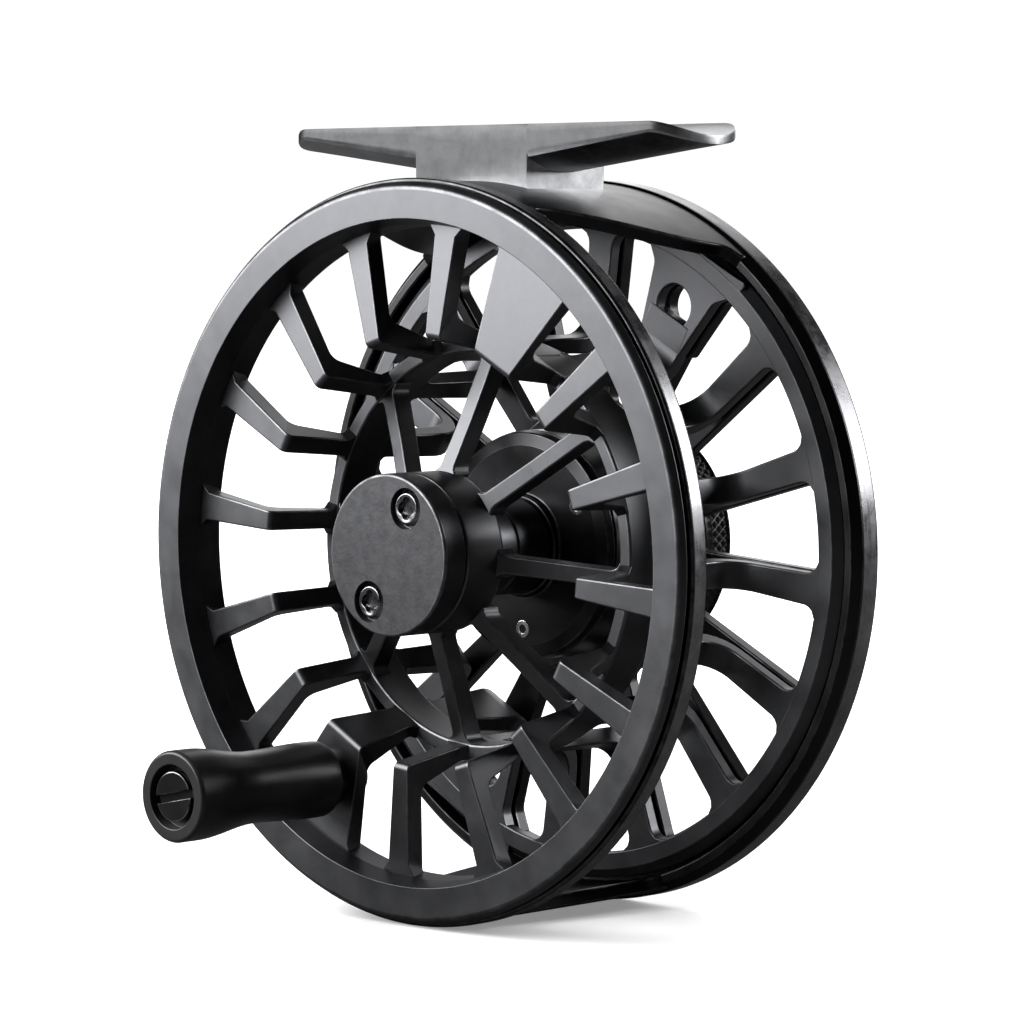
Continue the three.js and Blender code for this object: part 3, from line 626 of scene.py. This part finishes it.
def rear_spoke(angle):
    """Rear spoke: forward bars off the band bend out smoothly into the flange."""
    wide = angle in WEB_ANGLES
    root, bend, back = (3.6, 3.6, 2.2) if wide else (2.1, 1.75, 1.5)
    outer = 33.0 if wide else 41.5

    def flare(r, y):
        beside_rim = np.where(y > 28, 39.8 - r, 99)
        beside_band = np.where(r < 28, y - 17, 99)
        return fillet(beside_rim, 2.0) + fillet(beside_band, 0.9)

    front, rear = FLANGE_Y[0] + SUNK, FLANGE_Y[1] - SUNK
    near = [(26.3, 16.4, 0), (26.5, front, 3.4), (outer, front, 0)]
    far = [(24.5, 16.4, 0), (24.3, rear, 4.8), (outer, rear, 0)]
    return bar(near, far, (back, bend, root), angle, flare)


def holed_web(angle, y0, y1, hole_r=2.75, hole_at=34.3):
    """Flat web with a round hole: a rounded section carried round between hole and outline."""
    corners = [(28.6, 3.5, 0.6), (37.9, 5.6, 2.2), (40.4, 8.4, 0.5), (42.4, 9.2, 0.4)]
    outline = corners + [(r, -z, radius) for r, z, radius in reversed(corners)]
    loop, _, _ = rounded(outline, steps=8)
    spots = np.concatenate([loop, loop[:1]])
    along = np.concatenate([[0], np.cumsum(np.linalg.norm(np.diff(spots, axis=0), axis=1))])
    even = np.unique(np.concatenate([along[:-1], np.linspace(0, along[-1], 120)[:-1]]))
    rim = np.stack([np.interp(even, along, spots[:, k]) for k in (0, 1)], axis=-1)
    middle = np.array([hole_at, 0.0])
    ray = rim - middle
    length = np.linalg.norm(ray, axis=1)
    ray = ray / length[:, None]
    half = (length - hole_r) / 2
    u, v, mask = section(half, np.full(len(half), y1 - y0), sizes().edge_round)
    flat = middle + ray[:, None] * (hole_r + half[:, None] + u)[..., None]
    points = np.stack([flat[..., 0], y0 + v, flat[..., 1]], axis=-1)
    return shell(swing(points, angle), mask[None], wrap_rows=True)


def spool_flange():
    front, rear = FLANGE_Y
    return revolve([
        (39.8, front, 0.25), (42.0, front, 0.3), (43.2, 31.0, 0.3), (43.2, rear, 0.15),
        (39.8, rear, 0.25),
    ], sizes().rim_facets)


def hub_rib(angle):
    """Rib sloping back from the hub to the arbor band, filleted at both ends."""

    def flare(r, y):
        return fillet(np.abs(r - 9.7), 1.2) + fillet(24.5 - r, 1.3)

    near = [(6.4, 3.3, 0), (16.7, 8.0, 2.0), (24.9, 11.4, 0)]
    far = [(6.4, 6.1, 0), (16.7, 10.9, 2.0), (24.9, 14.5, 0)]
    return bar(near, far, (1.15, 1.1, 1.1), angle, flare)


def spool_hub():
    return revolve([
        (3.4, -0.2, 0.1), (10.0, -0.2, 0.3), (10.0, 6.2, 0.9), (7.2, 7.4, 1.5), (6.0, 9.2, 1.2),
        (6.0, 12.6, 0.1), (5.7, 12.75, 0.1), (5.7, 13.1, 0.1), (6.0, 13.25, 0.1),
        (6.0, 18.6, 0.3), (5.2, 18.6, 0.1), (5.2, 2.9, 0.1), (3.4, 2.9, 0.1),
    ], sizes().hub_facets)


def make_spool():
    parts = [spool_rim(), spool_flange(), spool_hub(),
             ring_of(24.5, 26.4, 11.0, 17.0, 0.35, sizes().rim_facets)]
    for angle in SPOKE_ANGLES:
        parts += [front_spoke(angle), rear_spoke(angle)]
    web_y = (FLANGE_Y[0] + 2 * SUNK, FLANGE_Y[1] - 2 * SUNK)
    parts += [holed_web(angle, *web_y) for angle in WEB_ANGLES]
    parts += [hub_rib(angle) for angle in RIB_ANGLES]
    boss = revolve([(0, -0.1, 0), (3.5, -0.1, 0.3), (3.5, 4.4, 0.4), (0, 4.4, 0)], 64)
    parts.append(moved(boss, HANDLE_AT, HANDLE_ANGLE))
    piece("spool_body", parts, FINISHES["spool_anodised"], "spool_body",
          ["spool"])


# ---------------------------------------------------------------- hub cap, handle

def bored(made, cutters):
    """Cuts shells out of a finished piece: an exact difference, then sharp edges by angle."""
    tools = piece("bore_tools", cutters, FINISHES["hub_cap"], "spool_body")
    cut = made.modifiers.new("bores", "BOOLEAN")
    cut.object = tools
    cut.solver = "EXACT"
    result = made.evaluated_get(bpy.context.evaluated_depsgraph_get())
    made.data = bpy.data.meshes.new_from_object(result)
    made.modifiers.clear()
    bpy.data.objects.remove(tools)
    made.data.set_sharp_from_angle(angle=math.radians(35))


def make_hub_cap():
    cap = revolve([(0, -4.1, 0), (10, -4.1, 0.35), (10, -0.5, 0.15), (4.9, -0.5, 0.1),
                   (4.9, -2.1, 0.1), (0, -2.1, 0)], sizes().hub_facets)
    made = piece("hub_cap_shell", [cap], FINISHES["hub_cap"], "spool_body", ["hub_cap"])
    well = revolve([(0, -5, 0), (2.55, -5, 0.1), (2.55, -2.9, 0.1), (0, -2.9, 0)], 64)
    bored(made, [moved(well, CAP_SCREW_AT, angle) for angle in (WEIGHT_ANGLE, HANDLE_ANGLE)])


def lobed(reach):
    """Four lobes: inside its reach, the radius is drawn in between them by the cube of a sine."""

    def wobble(radius, height, turn):
        inner = smooth((reach - radius) / 0.3)
        return radius * (1 - inner * 0.2 * np.abs(np.sin(2 * turn)) ** 3)

    return wobble


def make_cap_screws():
    for number, angle in enumerate((WEIGHT_ANGLE, HANDLE_ANGLE), start=1):
        head = revolve([(0, -3.3, 0), (1.35, -3.3, 0.04), (1.4, -3.95, 0.12), (1.8, -4.02, 0.2),
                        (2.15, -3.5, 0.15), (2.15, -2.95, 0.1), (0, -2.95, 0)],
                       96, wobble=lobed(1.75))
        piece(f"cap_screw_head_{number}", [moved(head, CAP_SCREW_AT, angle)], FINISHES["cap_screw"],
              "spool_body", [f"cap_screw_{number}"])


def grip_radius(depth):
    """Grip radius at a depth behind its end: full head, long waist, slight swell at the base."""
    return 5.65 - 1.15 * smooth((depth - 3.0) / 9.5) + 0.3 * smooth((depth - 13.5) / 8)


def make_grip():
    depth = np.linspace(1.2, 23.6, 28)
    side = [(grip_radius(d), -25.3 + d, 0.6) for d in depth]
    corners = [(3.95, -25.3, 0.12), (5.35, -25.3, 0.35), (5.65, -24.9, 0.4)] + side
    corners += [(4.75, -1.0, 0.4), (4.3, -0.5, 0.3), (2.8, -0.5, 0.1), (2.8, -23.6, 0.1),
                (3.95, -23.6, 0.1)]
    grip = revolve(corners, sizes().hub_facets, steps=3)
    piece("handle_grip_skin", [moved(grip, HANDLE_AT, HANDLE_ANGLE)], FINISHES["grip"],
          "handle_body", ["handle_grip"])


def half_disc(radius, gap, tilt, y0, y1, edge):
    """Half of a slotted screw head: a D outline lifted from y1 to y0, drawn in at the top edge."""
    start = math.asin(gap / radius)
    turn = np.linspace(start, math.pi - start, 40)
    outline = np.stack([radius * np.cos(turn), radius * np.sin(turn)], axis=-1)
    middle = outline.mean(0)
    ease = np.linspace(0, math.pi / 2, 5)
    inset = np.concatenate([[0, 0], edge * (1 - np.cos(ease)), [edge + 0.05]])
    level = np.concatenate([[y1, y0 + edge + 0.04], y0 + edge * (1 - np.sin(ease)), [y0]])
    inward = middle - outline
    inward = inward / np.linalg.norm(inward, axis=1, keepdims=True)
    flat = outline[None] + inward[None] * inset[:, None, None]
    c, s = math.cos(math.radians(tilt)), math.sin(math.radians(tilt))
    x, z = flat[..., 0] * c - flat[..., 1] * s, flat[..., 0] * s + flat[..., 1] * c
    points = np.stack([x, np.broadcast_to(level[:, None], x.shape), z], axis=-1)
    mask = ((inset > 0) & (inset <= edge)).astype(float)
    return shell(points, mask[:, None])


def make_handle_screw():
    base = revolve([(0, -24.45, 0), (3.1, -24.45, 0.1), (3.1, -23.7, 0.1), (0, -23.7, 0)], 64)
    lands = [half_disc(3.1, 0.5, 12 + side, -25.1, -24.3, 0.18) for side in (0, 180)]
    parts = [moved(part, HANDLE_AT, HANDLE_ANGLE) for part in [base] + lands]
    piece("handle_screw_head", parts, FINISHES["dark_screw"], "spool_body",
          ["handle_screw"])


def make_handle_post():
    post = revolve([(0, -23.2, 0), (1.7, -23.2, 0.1), (1.7, 4.7, 0.05), (3.0, 4.7, 0.15),
                    (2.8, 5.5, 0.5), (0, 5.5, 0)], 64)
    piece("handle_rivet", [moved(post, HANDLE_AT, HANDLE_ANGLE)], FINISHES["steel"], "spool_body",
          ["handle_post"])


# ---------------------------------------------------------------- frame

def bridge(middle, front_half, rear_half):
    """Wall between the rims: a curved band whose half angle eases from front to rear."""
    y = np.linspace(1.0, 31.0, 61)
    half = front_half + (rear_half - front_half) * smooth((y - 1) / 30)
    half = half + np.degrees((fillet(y - 2.5, 2.2) + fillet(30 - y, 2.2)) / BORE_R)
    u, v, mask = section(np.radians(half) * BORE_R, np.full(len(y), BRIDGE_R - BORE_R), 0.3)
    # more columns along both arcs, so that the band follows the round
    order = len(mask) // 4
    columns, weights = [], []
    for k in range(4):
        columns.append(np.arange(order) + k * order)
        weights.append(np.zeros(order))
        if k in (1, 3):
            columns.append(np.full(60, (k + 1) * order - 1))
            weights.append(np.linspace(0, 1, 62)[1:-1])
    columns, weights = np.concatenate(columns), np.concatenate(weights)
    after = (columns + 1) % len(mask)
    u = u[:, columns] * (1 - weights) + u[:, after] * weights
    v = v[:, columns] * (1 - weights) + v[:, after] * weights
    mask = np.where(weights > 0, 0, mask[columns])
    turn = math.radians(middle) + u / BORE_R
    radius = BORE_R + v
    points = np.stack([radius * np.cos(turn), np.broadcast_to(y[:, None], turn.shape),
                       radius * np.sin(turn)], axis=-1)
    return shell(np.roll(points, -order, axis=1), np.roll(mask, -order)[None], ladder=True)


def plate_bar(angle, root=2.2, end=41.6):
    """Bar of the rear plate, filleted into the drag housing and the rim."""

    def flare(r, y):
        return fillet(r - 17.6, 1.2) + fillet(40.6 - r, 2.0)

    front, rear = PLATE_Y[0] + SUNK, PLATE_Y[1] - SUNK
    near = [(15.0, front, 0), (end, front, 0)]
    far = [(15.0, rear, 0), (end, rear, 0)]
    return bar(near, far, (1.5, root), angle, flare)


def make_frame():
    facets = sizes().rim_facets
    rim = FRAME_R - BAND_PROUD
    web_y = (PLATE_Y[0] + 2 * SUNK, PLATE_Y[1] - 2 * SUNK)
    parts = [
        revolve([(BORE_R, 0, 0.15), (rim, 0, 0.35), (rim, 2.5, 0.2), (BORE_R, 2.5, 0.2)], facets),
        revolve([(BORE_R, 30.0, 0.2), (45.0, 30.0, 0.2), (rim, 31.1, 0.2), (rim, 34.2, 0.35),
                 (40.6, 34.2, 0.25), (40.6, 32.3, 0.25), (BORE_R, 32.3, 0.3)], facets),
        revolve([(0, 36.9, 0), (5.3, 36.9, 0.1), (5.3, 34.5, 0.1), (11.6, 34.5, 0.2),
                 (11.6, 21.7, 0.1), (14.5, 21.7, 0.15), (14.5, 37.4, 0.3), (4.0, 37.4, 0.2),
                 (4.0, 40.6, 0.2), (0, 40.6, 0)], sizes().hub_facets),
        ring_of(13.5, 17.5, PLATE_Y[0], PLATE_Y[1], 0.25, sizes().hub_facets),
        bridge(90, 21.8, 34.5),
        bridge(-90, 12, 16.5),
    ]
    for angle in SPOKE_ANGLES:
        if angle in WEB_ANGLES:
            parts += [holed_web(angle, *web_y), plate_bar(angle, 3.0, 30.0)]
        else:
            parts.append(plate_bar(angle))
    piece("cage", parts, FINISHES["frame_anodised"], "frame_body", ["frame"])


def make_rim_highlight_bands():
    """Bright turned bands round both rims, a hair proud of the anodising."""
    inner = FRAME_R - 0.4
    parts = [revolve([(inner, y0, 0.05), (FRAME_R, y0, 0.1), (FRAME_R, y1, 0.1), (inner, y1, 0.05)],
                     sizes().rim_facets)
             for y0, y1 in ((0.35, 2.3), (31.3, 33.9))]
    piece("rim_highlight_bands", parts, FINISHES["rim_metal"], "frame_body")


# ---------------------------------------------------------------- foot

FOOT_MID_Y = 17.6
FOOT_HALF = 34.3
EDGE_Z = 52.65
SEAT_Z = 50.85
SHOULDER = 29.3
PEDESTAL_X = 9.5


def foot_section(x, pedestal):
    """Loop of (y, z): hollow seat above, then the belly of an arm or the foot of the pedestal."""
    full = 7.0
    reach = abs(x)
    past = max(0.0, reach - SHOULDER) / (FOOT_HALF - SHOULDER)
    tip = math.sqrt(max(0.0, 1 - past * past))
    half = max(0.3, full * tip)
    share = max(0, (reach - PEDESTAL_X) / (SHOULDER - PEDESTAL_X))
    edge_z, middle_z = 48.6 + 2.7 * min(share, 1), 46.7 + 2.5 * share
    across = np.linspace(-1, 1, 41) * (half - 0.12)
    seat = SEAT_Z + (EDGE_Z - SEAT_Z) * (across / full) ** 2
    if pedestal:
        belly = np.full_like(across, 44.4)
    else:
        belly = np.minimum(middle_z + (edge_z - middle_z) * (across / full) ** 2, seat - 0.6)
    side = np.linspace(0, 1, 9)[1:-1]
    fall = seat[-1] - 0.1 - (seat[-1] - belly[-1] - 0.2) * side
    rise = belly[0] + 0.1 + (seat[0] - belly[0] - 0.2) * side
    right = np.stack([np.full(7, half), fall], axis=-1)
    left = np.stack([np.full(7, -half), rise], axis=-1)
    top = np.stack([across, seat], axis=-1)
    bottom = np.stack([across[::-1], belly[::-1]], axis=-1)
    loop = np.concatenate([top, right, bottom, left])
    mask = np.zeros(len(loop))
    mask[[0, 40, 48, 88]] = 1
    return loop, mask


def make_foot():
    """Foot lofted along x: sections stand at closely spaced stations, doubled at the pedestal."""
    ease = np.sin(np.linspace(0, math.pi / 2, 22))[1:]
    arm = np.concatenate([np.linspace(PEDESTAL_X + 0.06, SHOULDER, 16),
                          SHOULDER + (FOOT_HALF - SHOULDER) * ease])
    stations = [(-x, False) for x in arm[::-1]]
    stations += [(x, True) for x in (-PEDESTAL_X, 0.0, PEDESTAL_X)]
    stations += [(x, False) for x in arm]
    loops = [foot_section(x, pedestal) for x, pedestal in stations]
    flat = np.stack([loop for loop, _ in loops])
    mask = np.stack([mark for _, mark in loops])
    x = np.broadcast_to(np.array([x for x, _ in stations])[:, None], flat.shape[:2])
    points = np.stack([x, flat[..., 0] + FOOT_MID_Y, flat[..., 1]], axis=-1)
    made = piece("foot_saddle", [shell(points, mask)], FINISHES["foot_aluminium"], "frame_body",
                 ["reel_foot"])
    made.data.polygons.foreach_set("use_smooth", np.ones(len(made.data.polygons), bool))
    made.data.set_sharp_from_angle(angle=math.radians(32))
    edges = made.modifiers.new("edge_break", "BEVEL")
    edges.width = 0.0002
    edges.segments = 2
    edges.limit_method = "ANGLE"
    edges.angle_limit = math.radians(32)
    edges.harden_normals = True


def make_foot_screws():
    for number, x in enumerate((-5.0, 5.0), start=1):
        screw = revolve([(0, 42.5, 0), (0.9, 42.5, 0.05), (0.9, 41.9, 0.1), (1.7, 41.9, 0.3),
                         (2.3, 42.4, 0.3), (2.3, 43.0, 0.1), (1.4, 43.0, 0.05), (1.4, 48.6, 0.1),
                         (0, 48.6, 0)], 48)
        piece(f"foot_screw_body_{number}", [stood_up(screw, x, FOOT_MID_Y)], FINISHES["steel"],
              "frame_body", [f"foot_screw_{number}"])


# ---------------------------------------------------------------- drag

def make_drag_cover():
    facets = sizes().hub_facets
    cover = revolve([
        (4.6, 19.0, 0.1), (6.4, 19.0, 0.25), (6.4, 20.0, 0.3), (12.6, 20.0, 0.2), (14.2, 20.4, 0.3),
        (14.5, 21.4, 0.1), (11.3, 21.4, 0.1), (11.3, 22.4, 0.1), (5.3, 22.4, 0.1), (5.3, 20.6, 0.1),
        (3.3, 20.6, 0.1), (3.3, 19.9, 0.1), (4.6, 19.9, 0.1),
    ], facets)
    piece("drag_cover_plate", [cover], FINISHES["frame_anodised"], "frame_body",
          ["drag_cover"])
    for number, angle in enumerate((30, 150, 270), start=1):
        screw = revolve([(0, 20.2, 0), (0.5, 20.2, 0.05), (0.55, 19.9, 0.08), (1.15, 19.9, 0.12),
                         (1.15, 20.9, 0.1), (0, 20.9, 0)], 40)
        piece(f"cover_screw_head_{number}", [moved(screw, 10.6, angle)], FINISHES["steel"],
              "frame_body", [f"cover_screw_{number}"])


def knurl(radius, height, turn):
    """Diamonds: the lower of two crossed triangle waves raises the rim between its collars."""
    wide = 2 * math.pi * 15.0
    count = round(wide / sizes().knurl_pitch)
    around = turn * count / (2 * math.pi)
    along = height / sizes().knurl_pitch

    def wave(phase):
        return np.abs(((phase % 1.0) - 0.5) * 2)

    ridge = 1 - np.maximum(wave(around + along * 0.75), wave(around - along * 0.75))
    band = smooth((height - 39.25) / 0.1) * smooth((42.45 - height) / 0.1)
    outside = radius > 14.75
    return np.where(outside, radius - band * sizes().knurl_depth * (1 - ridge), radius)


def make_knob():
    side = [(15.0, y, 0.01) for y in np.linspace(39.2, 42.5, 34)]
    corners = [(4.3, 38.3, 0.1), (9.6, 38.3, 0.1), (9.6, 38.9, 0.1), (12.4, 38.9, 0.1),
               (12.4, 38.3, 0.1), (13.0, 38.3, 0.1), (13.0, 37.8, 0.1), (15.0, 37.8, 0.25)] + side
    corners += [(15.0, 42.8, 0.3), (14.3, 42.8, 0.2), (13.2, 42.4, 0.5), (9.5, 42.4, 0.2),
                (9.1, 41.6, 0.15), (4.3, 41.6, 0.1)]
    knob = revolve(corners, 960, steps=1, wobble=knurl)
    piece("drag_knob_knurled", [knob], FINISHES["frame_anodised"], "knob_body",
          ["drag_knob"])
    screw = revolve([(0, 41.95, 0), (1.5, 41.95, 0.05), (1.6, 42.6, 0.1), (6.3, 42.6, 0.35),
                     (6.5, 41.9, 0.1), (1.2, 41.9, 0.1), (1.2, 38.2, 0.1), (0, 38.2, 0)],
                    96, wobble=lobed(1.9))
    piece("knob_screw_head", [screw], FINISHES["dark_screw"], "frame_body",
          ["knob_screw"])


def finish_inner_pieces():
    """Gives every CAD node that stays the finish of its own slot."""
    for row in frame["record"]["subparts"]:
        node = frame["nodes"].get(row["node"])
        if node is None or node.type != "MESH":
            continue
        node.data.materials.clear()
        node.data.materials.append(FINISHES[row["material_slot"]])


# ---------------------------------------------------------------- studio

CAMERA_AT = (371.75, -372.51, 38.91)
CAMERA_LOOK = (-0.68805, 0.72283, -0.06410)
CAMERA_LENS = 151.17
FLOOR_Z = -FRAME_R
FLOOR_HALF = 6.0
# Distance from the middle of the floor, in metres, and how strongly the paper glows there.
GLOW_NEAR = (0.13, 0.25)
GLOW_FAR = (0.45, 1.1)
BACKDROP_STRENGTH = 1.05
ROOM_STRENGTH = 0.02
# Each light's place, target and size in the reel's millimetres, then its power in watts.
LIGHTS = {
    "floor_wash": ((0, 60, 1500), (0, 60, 0), (3500, 3500), 75),
    "face_panel": ((-185, -195, 135), (0, -1, 40), (330, 225), 2.0),
    "foot_panel": ((-185, -195, 135), (0, -1, 40), (320, 210), 0.17),
    "rear_panel": ((330, 360, 190), (30, 20, 10), (120, 220), 1.2),
    "back_fill": ((-320, 520, 260), (0, 20, 0), (420, 420), 1.0),
}


def in_world(point):
    return Vector((AXIS_X, LIP_Y, AXIS_Z)) + Vector(point) * MM


def aim(made, direction):
    made.rotation_euler = Vector(direction).to_track_quat("-Z", "Y").to_euler()


def area_light(name, at, look_at, size, power):
    """Rectangular soft light, placed and aimed in the reel's millimetres."""
    data = bpy.data.lights.new(name, "AREA")
    data.shape = "RECTANGLE"
    data.size, data.size_y = size[0] * MM, size[1] * MM
    data.energy = power
    made = bpy.data.objects.new(name, data)
    made.location = in_world(at)
    aim(made, Vector(look_at) - Vector(at))
    bpy.context.scene.collection.objects.link(made)
    return made


def make_camera():
    data = bpy.data.cameras.new("studio_camera")
    data.sensor_width = 36.0
    data.lens = CAMERA_LENS
    data.clip_start = 0.01
    made = bpy.data.objects.new("studio_camera", data)
    made.location = in_world(CAMERA_AT)
    aim(made, CAMERA_LOOK)
    bpy.context.scene.collection.objects.link(made)
    bpy.context.scene.camera = made


def make_floor():
    """Pale paper floor as one flat sheet; to the eye it glows a little, as a lit sweep does."""
    side = np.linspace(-FLOOR_HALF, FLOOR_HALF, 41)
    x, y = np.meshgrid(side, side)
    z = np.full_like(x, in_world((0, 0, FLOOR_Z)).z)
    points = np.stack([x, y, z], axis=-1)
    rows, columns = x.shape
    index = np.arange(rows * columns).reshape(rows, columns)
    quads = np.stack([index[:-1, :-1], index[:-1, 1:], index[1:, 1:], index[1:, :-1]], axis=-1)
    mesh = bpy.data.meshes.new("floor")
    mesh.from_pydata(points.reshape(-1, 3).tolist(), [], quads.reshape(-1, 4).tolist())
    mesh.polygons.foreach_set("use_smooth", np.ones(len(mesh.polygons), bool))
    material, tree, shader = new_material("floor_paper", 0.0, 0.2)
    shader.inputs["Roughness"].default_value = 0.8
    shader.inputs["Emission Color"].default_value = (1, 1, 1, 1)
    path = tree.nodes.new("ShaderNodeLightPath").outputs["Is Camera Ray"]
    paper = mix_colour(tree, path, (0.05, 0.05, 0.05, 1), (0.85, 0.85, 0.86, 1))
    tree.links.new(paper, shader.inputs["Base Color"])
    where = tree.nodes.new("ShaderNodeTexCoord").outputs["Object"]
    away = tree.nodes.new("ShaderNodeVectorMath")
    away.operation = "LENGTH"
    tree.links.new(where, away.inputs[0])
    spread = tree.nodes.new("ShaderNodeMapRange")
    spread.inputs["From Min"].default_value, spread.inputs["To Min"].default_value = GLOW_NEAR
    spread.inputs["From Max"].default_value, spread.inputs["To Max"].default_value = GLOW_FAR
    tree.links.new(away.outputs["Value"], spread.inputs["Value"])
    glow = math_node(tree, "MULTIPLY", path, spread.outputs[0])
    tree.links.new(glow, shader.inputs["Emission Strength"])
    mesh.materials.append(material)
    made = bpy.data.objects.new("floor", mesh)
    bpy.context.scene.collection.objects.link(made)
    return made


def make_world():
    """White backdrop for the eye, dim surroundings for reflections."""
    world = bpy.data.worlds.new("studio")
    world.use_nodes = True
    tree = world.node_tree
    tree.nodes.clear()
    seen, felt = tree.nodes.new("ShaderNodeBackground"), tree.nodes.new("ShaderNodeBackground")
    seen.inputs["Strength"].default_value = BACKDROP_STRENGTH
    seen.inputs["Color"].default_value = (1, 1, 1, 1)
    felt.inputs["Color"].default_value = (0.9, 0.93, 1, 1)
    felt.inputs["Strength"].default_value = ROOM_STRENGTH
    path, mixed = tree.nodes.new("ShaderNodeLightPath"), tree.nodes.new("ShaderNodeMixShader")
    out = tree.nodes.new("ShaderNodeOutputWorld")
    tree.links.new(path.outputs["Is Camera Ray"], mixed.inputs[0])
    tree.links.new(felt.outputs[0], mixed.inputs[1])
    tree.links.new(seen.outputs[0], mixed.inputs[2])
    tree.links.new(mixed.outputs[0], out.inputs["Surface"])
    bpy.context.scene.world = world


def make_studio():
    make_world()
    make_camera()
    floor = make_floor()
    bpy.context.scene.view_settings.view_transform = "Standard"
    lights = {name: area_light(name, *setting) for name, setting in LIGHTS.items()}
    saddle = bpy.data.objects["foot_saddle"]
    for light, target, state in (("floor_wash", floor, "INCLUDE"), ("face_panel", saddle, "EXCLUDE"),
                                 ("foot_panel", saddle, "INCLUDE")):
        reached = bpy.data.collections.new(light + "_reach")
        reached.objects.link(target)
        reached.collection_objects[0].light_linking.link_state = state
        lights[light].light_linking.receiver_collection = reached


# ---------------------------------------------------------------- operators

def operator(idname, label, words, *actions):
    """An operator class that runs the given makers in turn."""

    def execute(self, context):
        for action in actions:
            action()
        return {"FINISHED"}

    name = "REEL_OT_" + idname.split(".")[1]
    return type(name, (bpy.types.Operator,), {
        "__doc__": words, "bl_idname": idname, "bl_label": label, "bl_options": {"UNDO"},
        "execute": execute})


OPERATORS = [
    operator("reel.finishes", "Finishes", "Make the anodised, bare and moulded finishes", make_finishes),
    operator("reel.inner", "Inner pieces", "Finish the pieces carried over from the packed reel",
             finish_inner_pieces),
    operator("reel.spool", "Spool", "Build the ported spool", make_spool),
    operator("reel.cap", "Hub cap", "Build the hub cap and its screws", make_hub_cap, make_cap_screws),
    operator("reel.handle", "Handle", "Build the grip, its screw and its rivet",
             make_grip, make_handle_screw, make_handle_post),
    operator("reel.frame", "Frame", "Build the cage and its bright bands", make_frame, make_rim_highlight_bands),
    operator("reel.foot", "Foot", "Build the saddle foot and its screws", make_foot, make_foot_screws),
    operator("reel.drag", "Drag", "Build the drag cover and the knurled knob",
             make_drag_cover, make_knob),
    operator("reel.studio", "Studio", "Set the floor, lights, backdrop and camera", make_studio),
]


class REEL_PT_bench(bpy.types.Panel):
    """Buttons for every group of pieces."""

    bl_label = "Fly Reel"
    bl_space_type = "VIEW_3D"
    bl_region_type = "UI"
    bl_category = "Fly Reel"

    def draw(self, context):
        for made in OPERATORS:
            self.layout.operator(made.bl_idname)
        for group in (context.scene.reel_sizes, context.scene.reel_colours):
            for key in group.__annotations__:
                self.layout.prop(group, key)


CLASSES = [ReelSizes, ReelColours, *OPERATORS, REEL_PT_bench]


def register():
    for made in CLASSES:
        bpy.utils.register_class(made)
    bpy.types.Scene.reel_sizes = bpy.props.PointerProperty(type=ReelSizes)
    bpy.types.Scene.reel_colours = bpy.props.PointerProperty(type=ReelColours)


def unregister():
    del bpy.types.Scene.reel_colours
    del bpy.types.Scene.reel_sizes
    for made in reversed(CLASSES):
        bpy.utils.unregister_class(made)


def main():
    register()
    bpy.ops.reel.finishes()
    bpy.ops.reel.inner()
    bpy.ops.reel.spool()
    bpy.ops.reel.cap()
    bpy.ops.reel.handle()
    bpy.ops.reel.frame()
    bpy.ops.reel.foot()
    bpy.ops.reel.drag()
    bpy.ops.reel.studio()


if __name__ == "__main__":
    main()
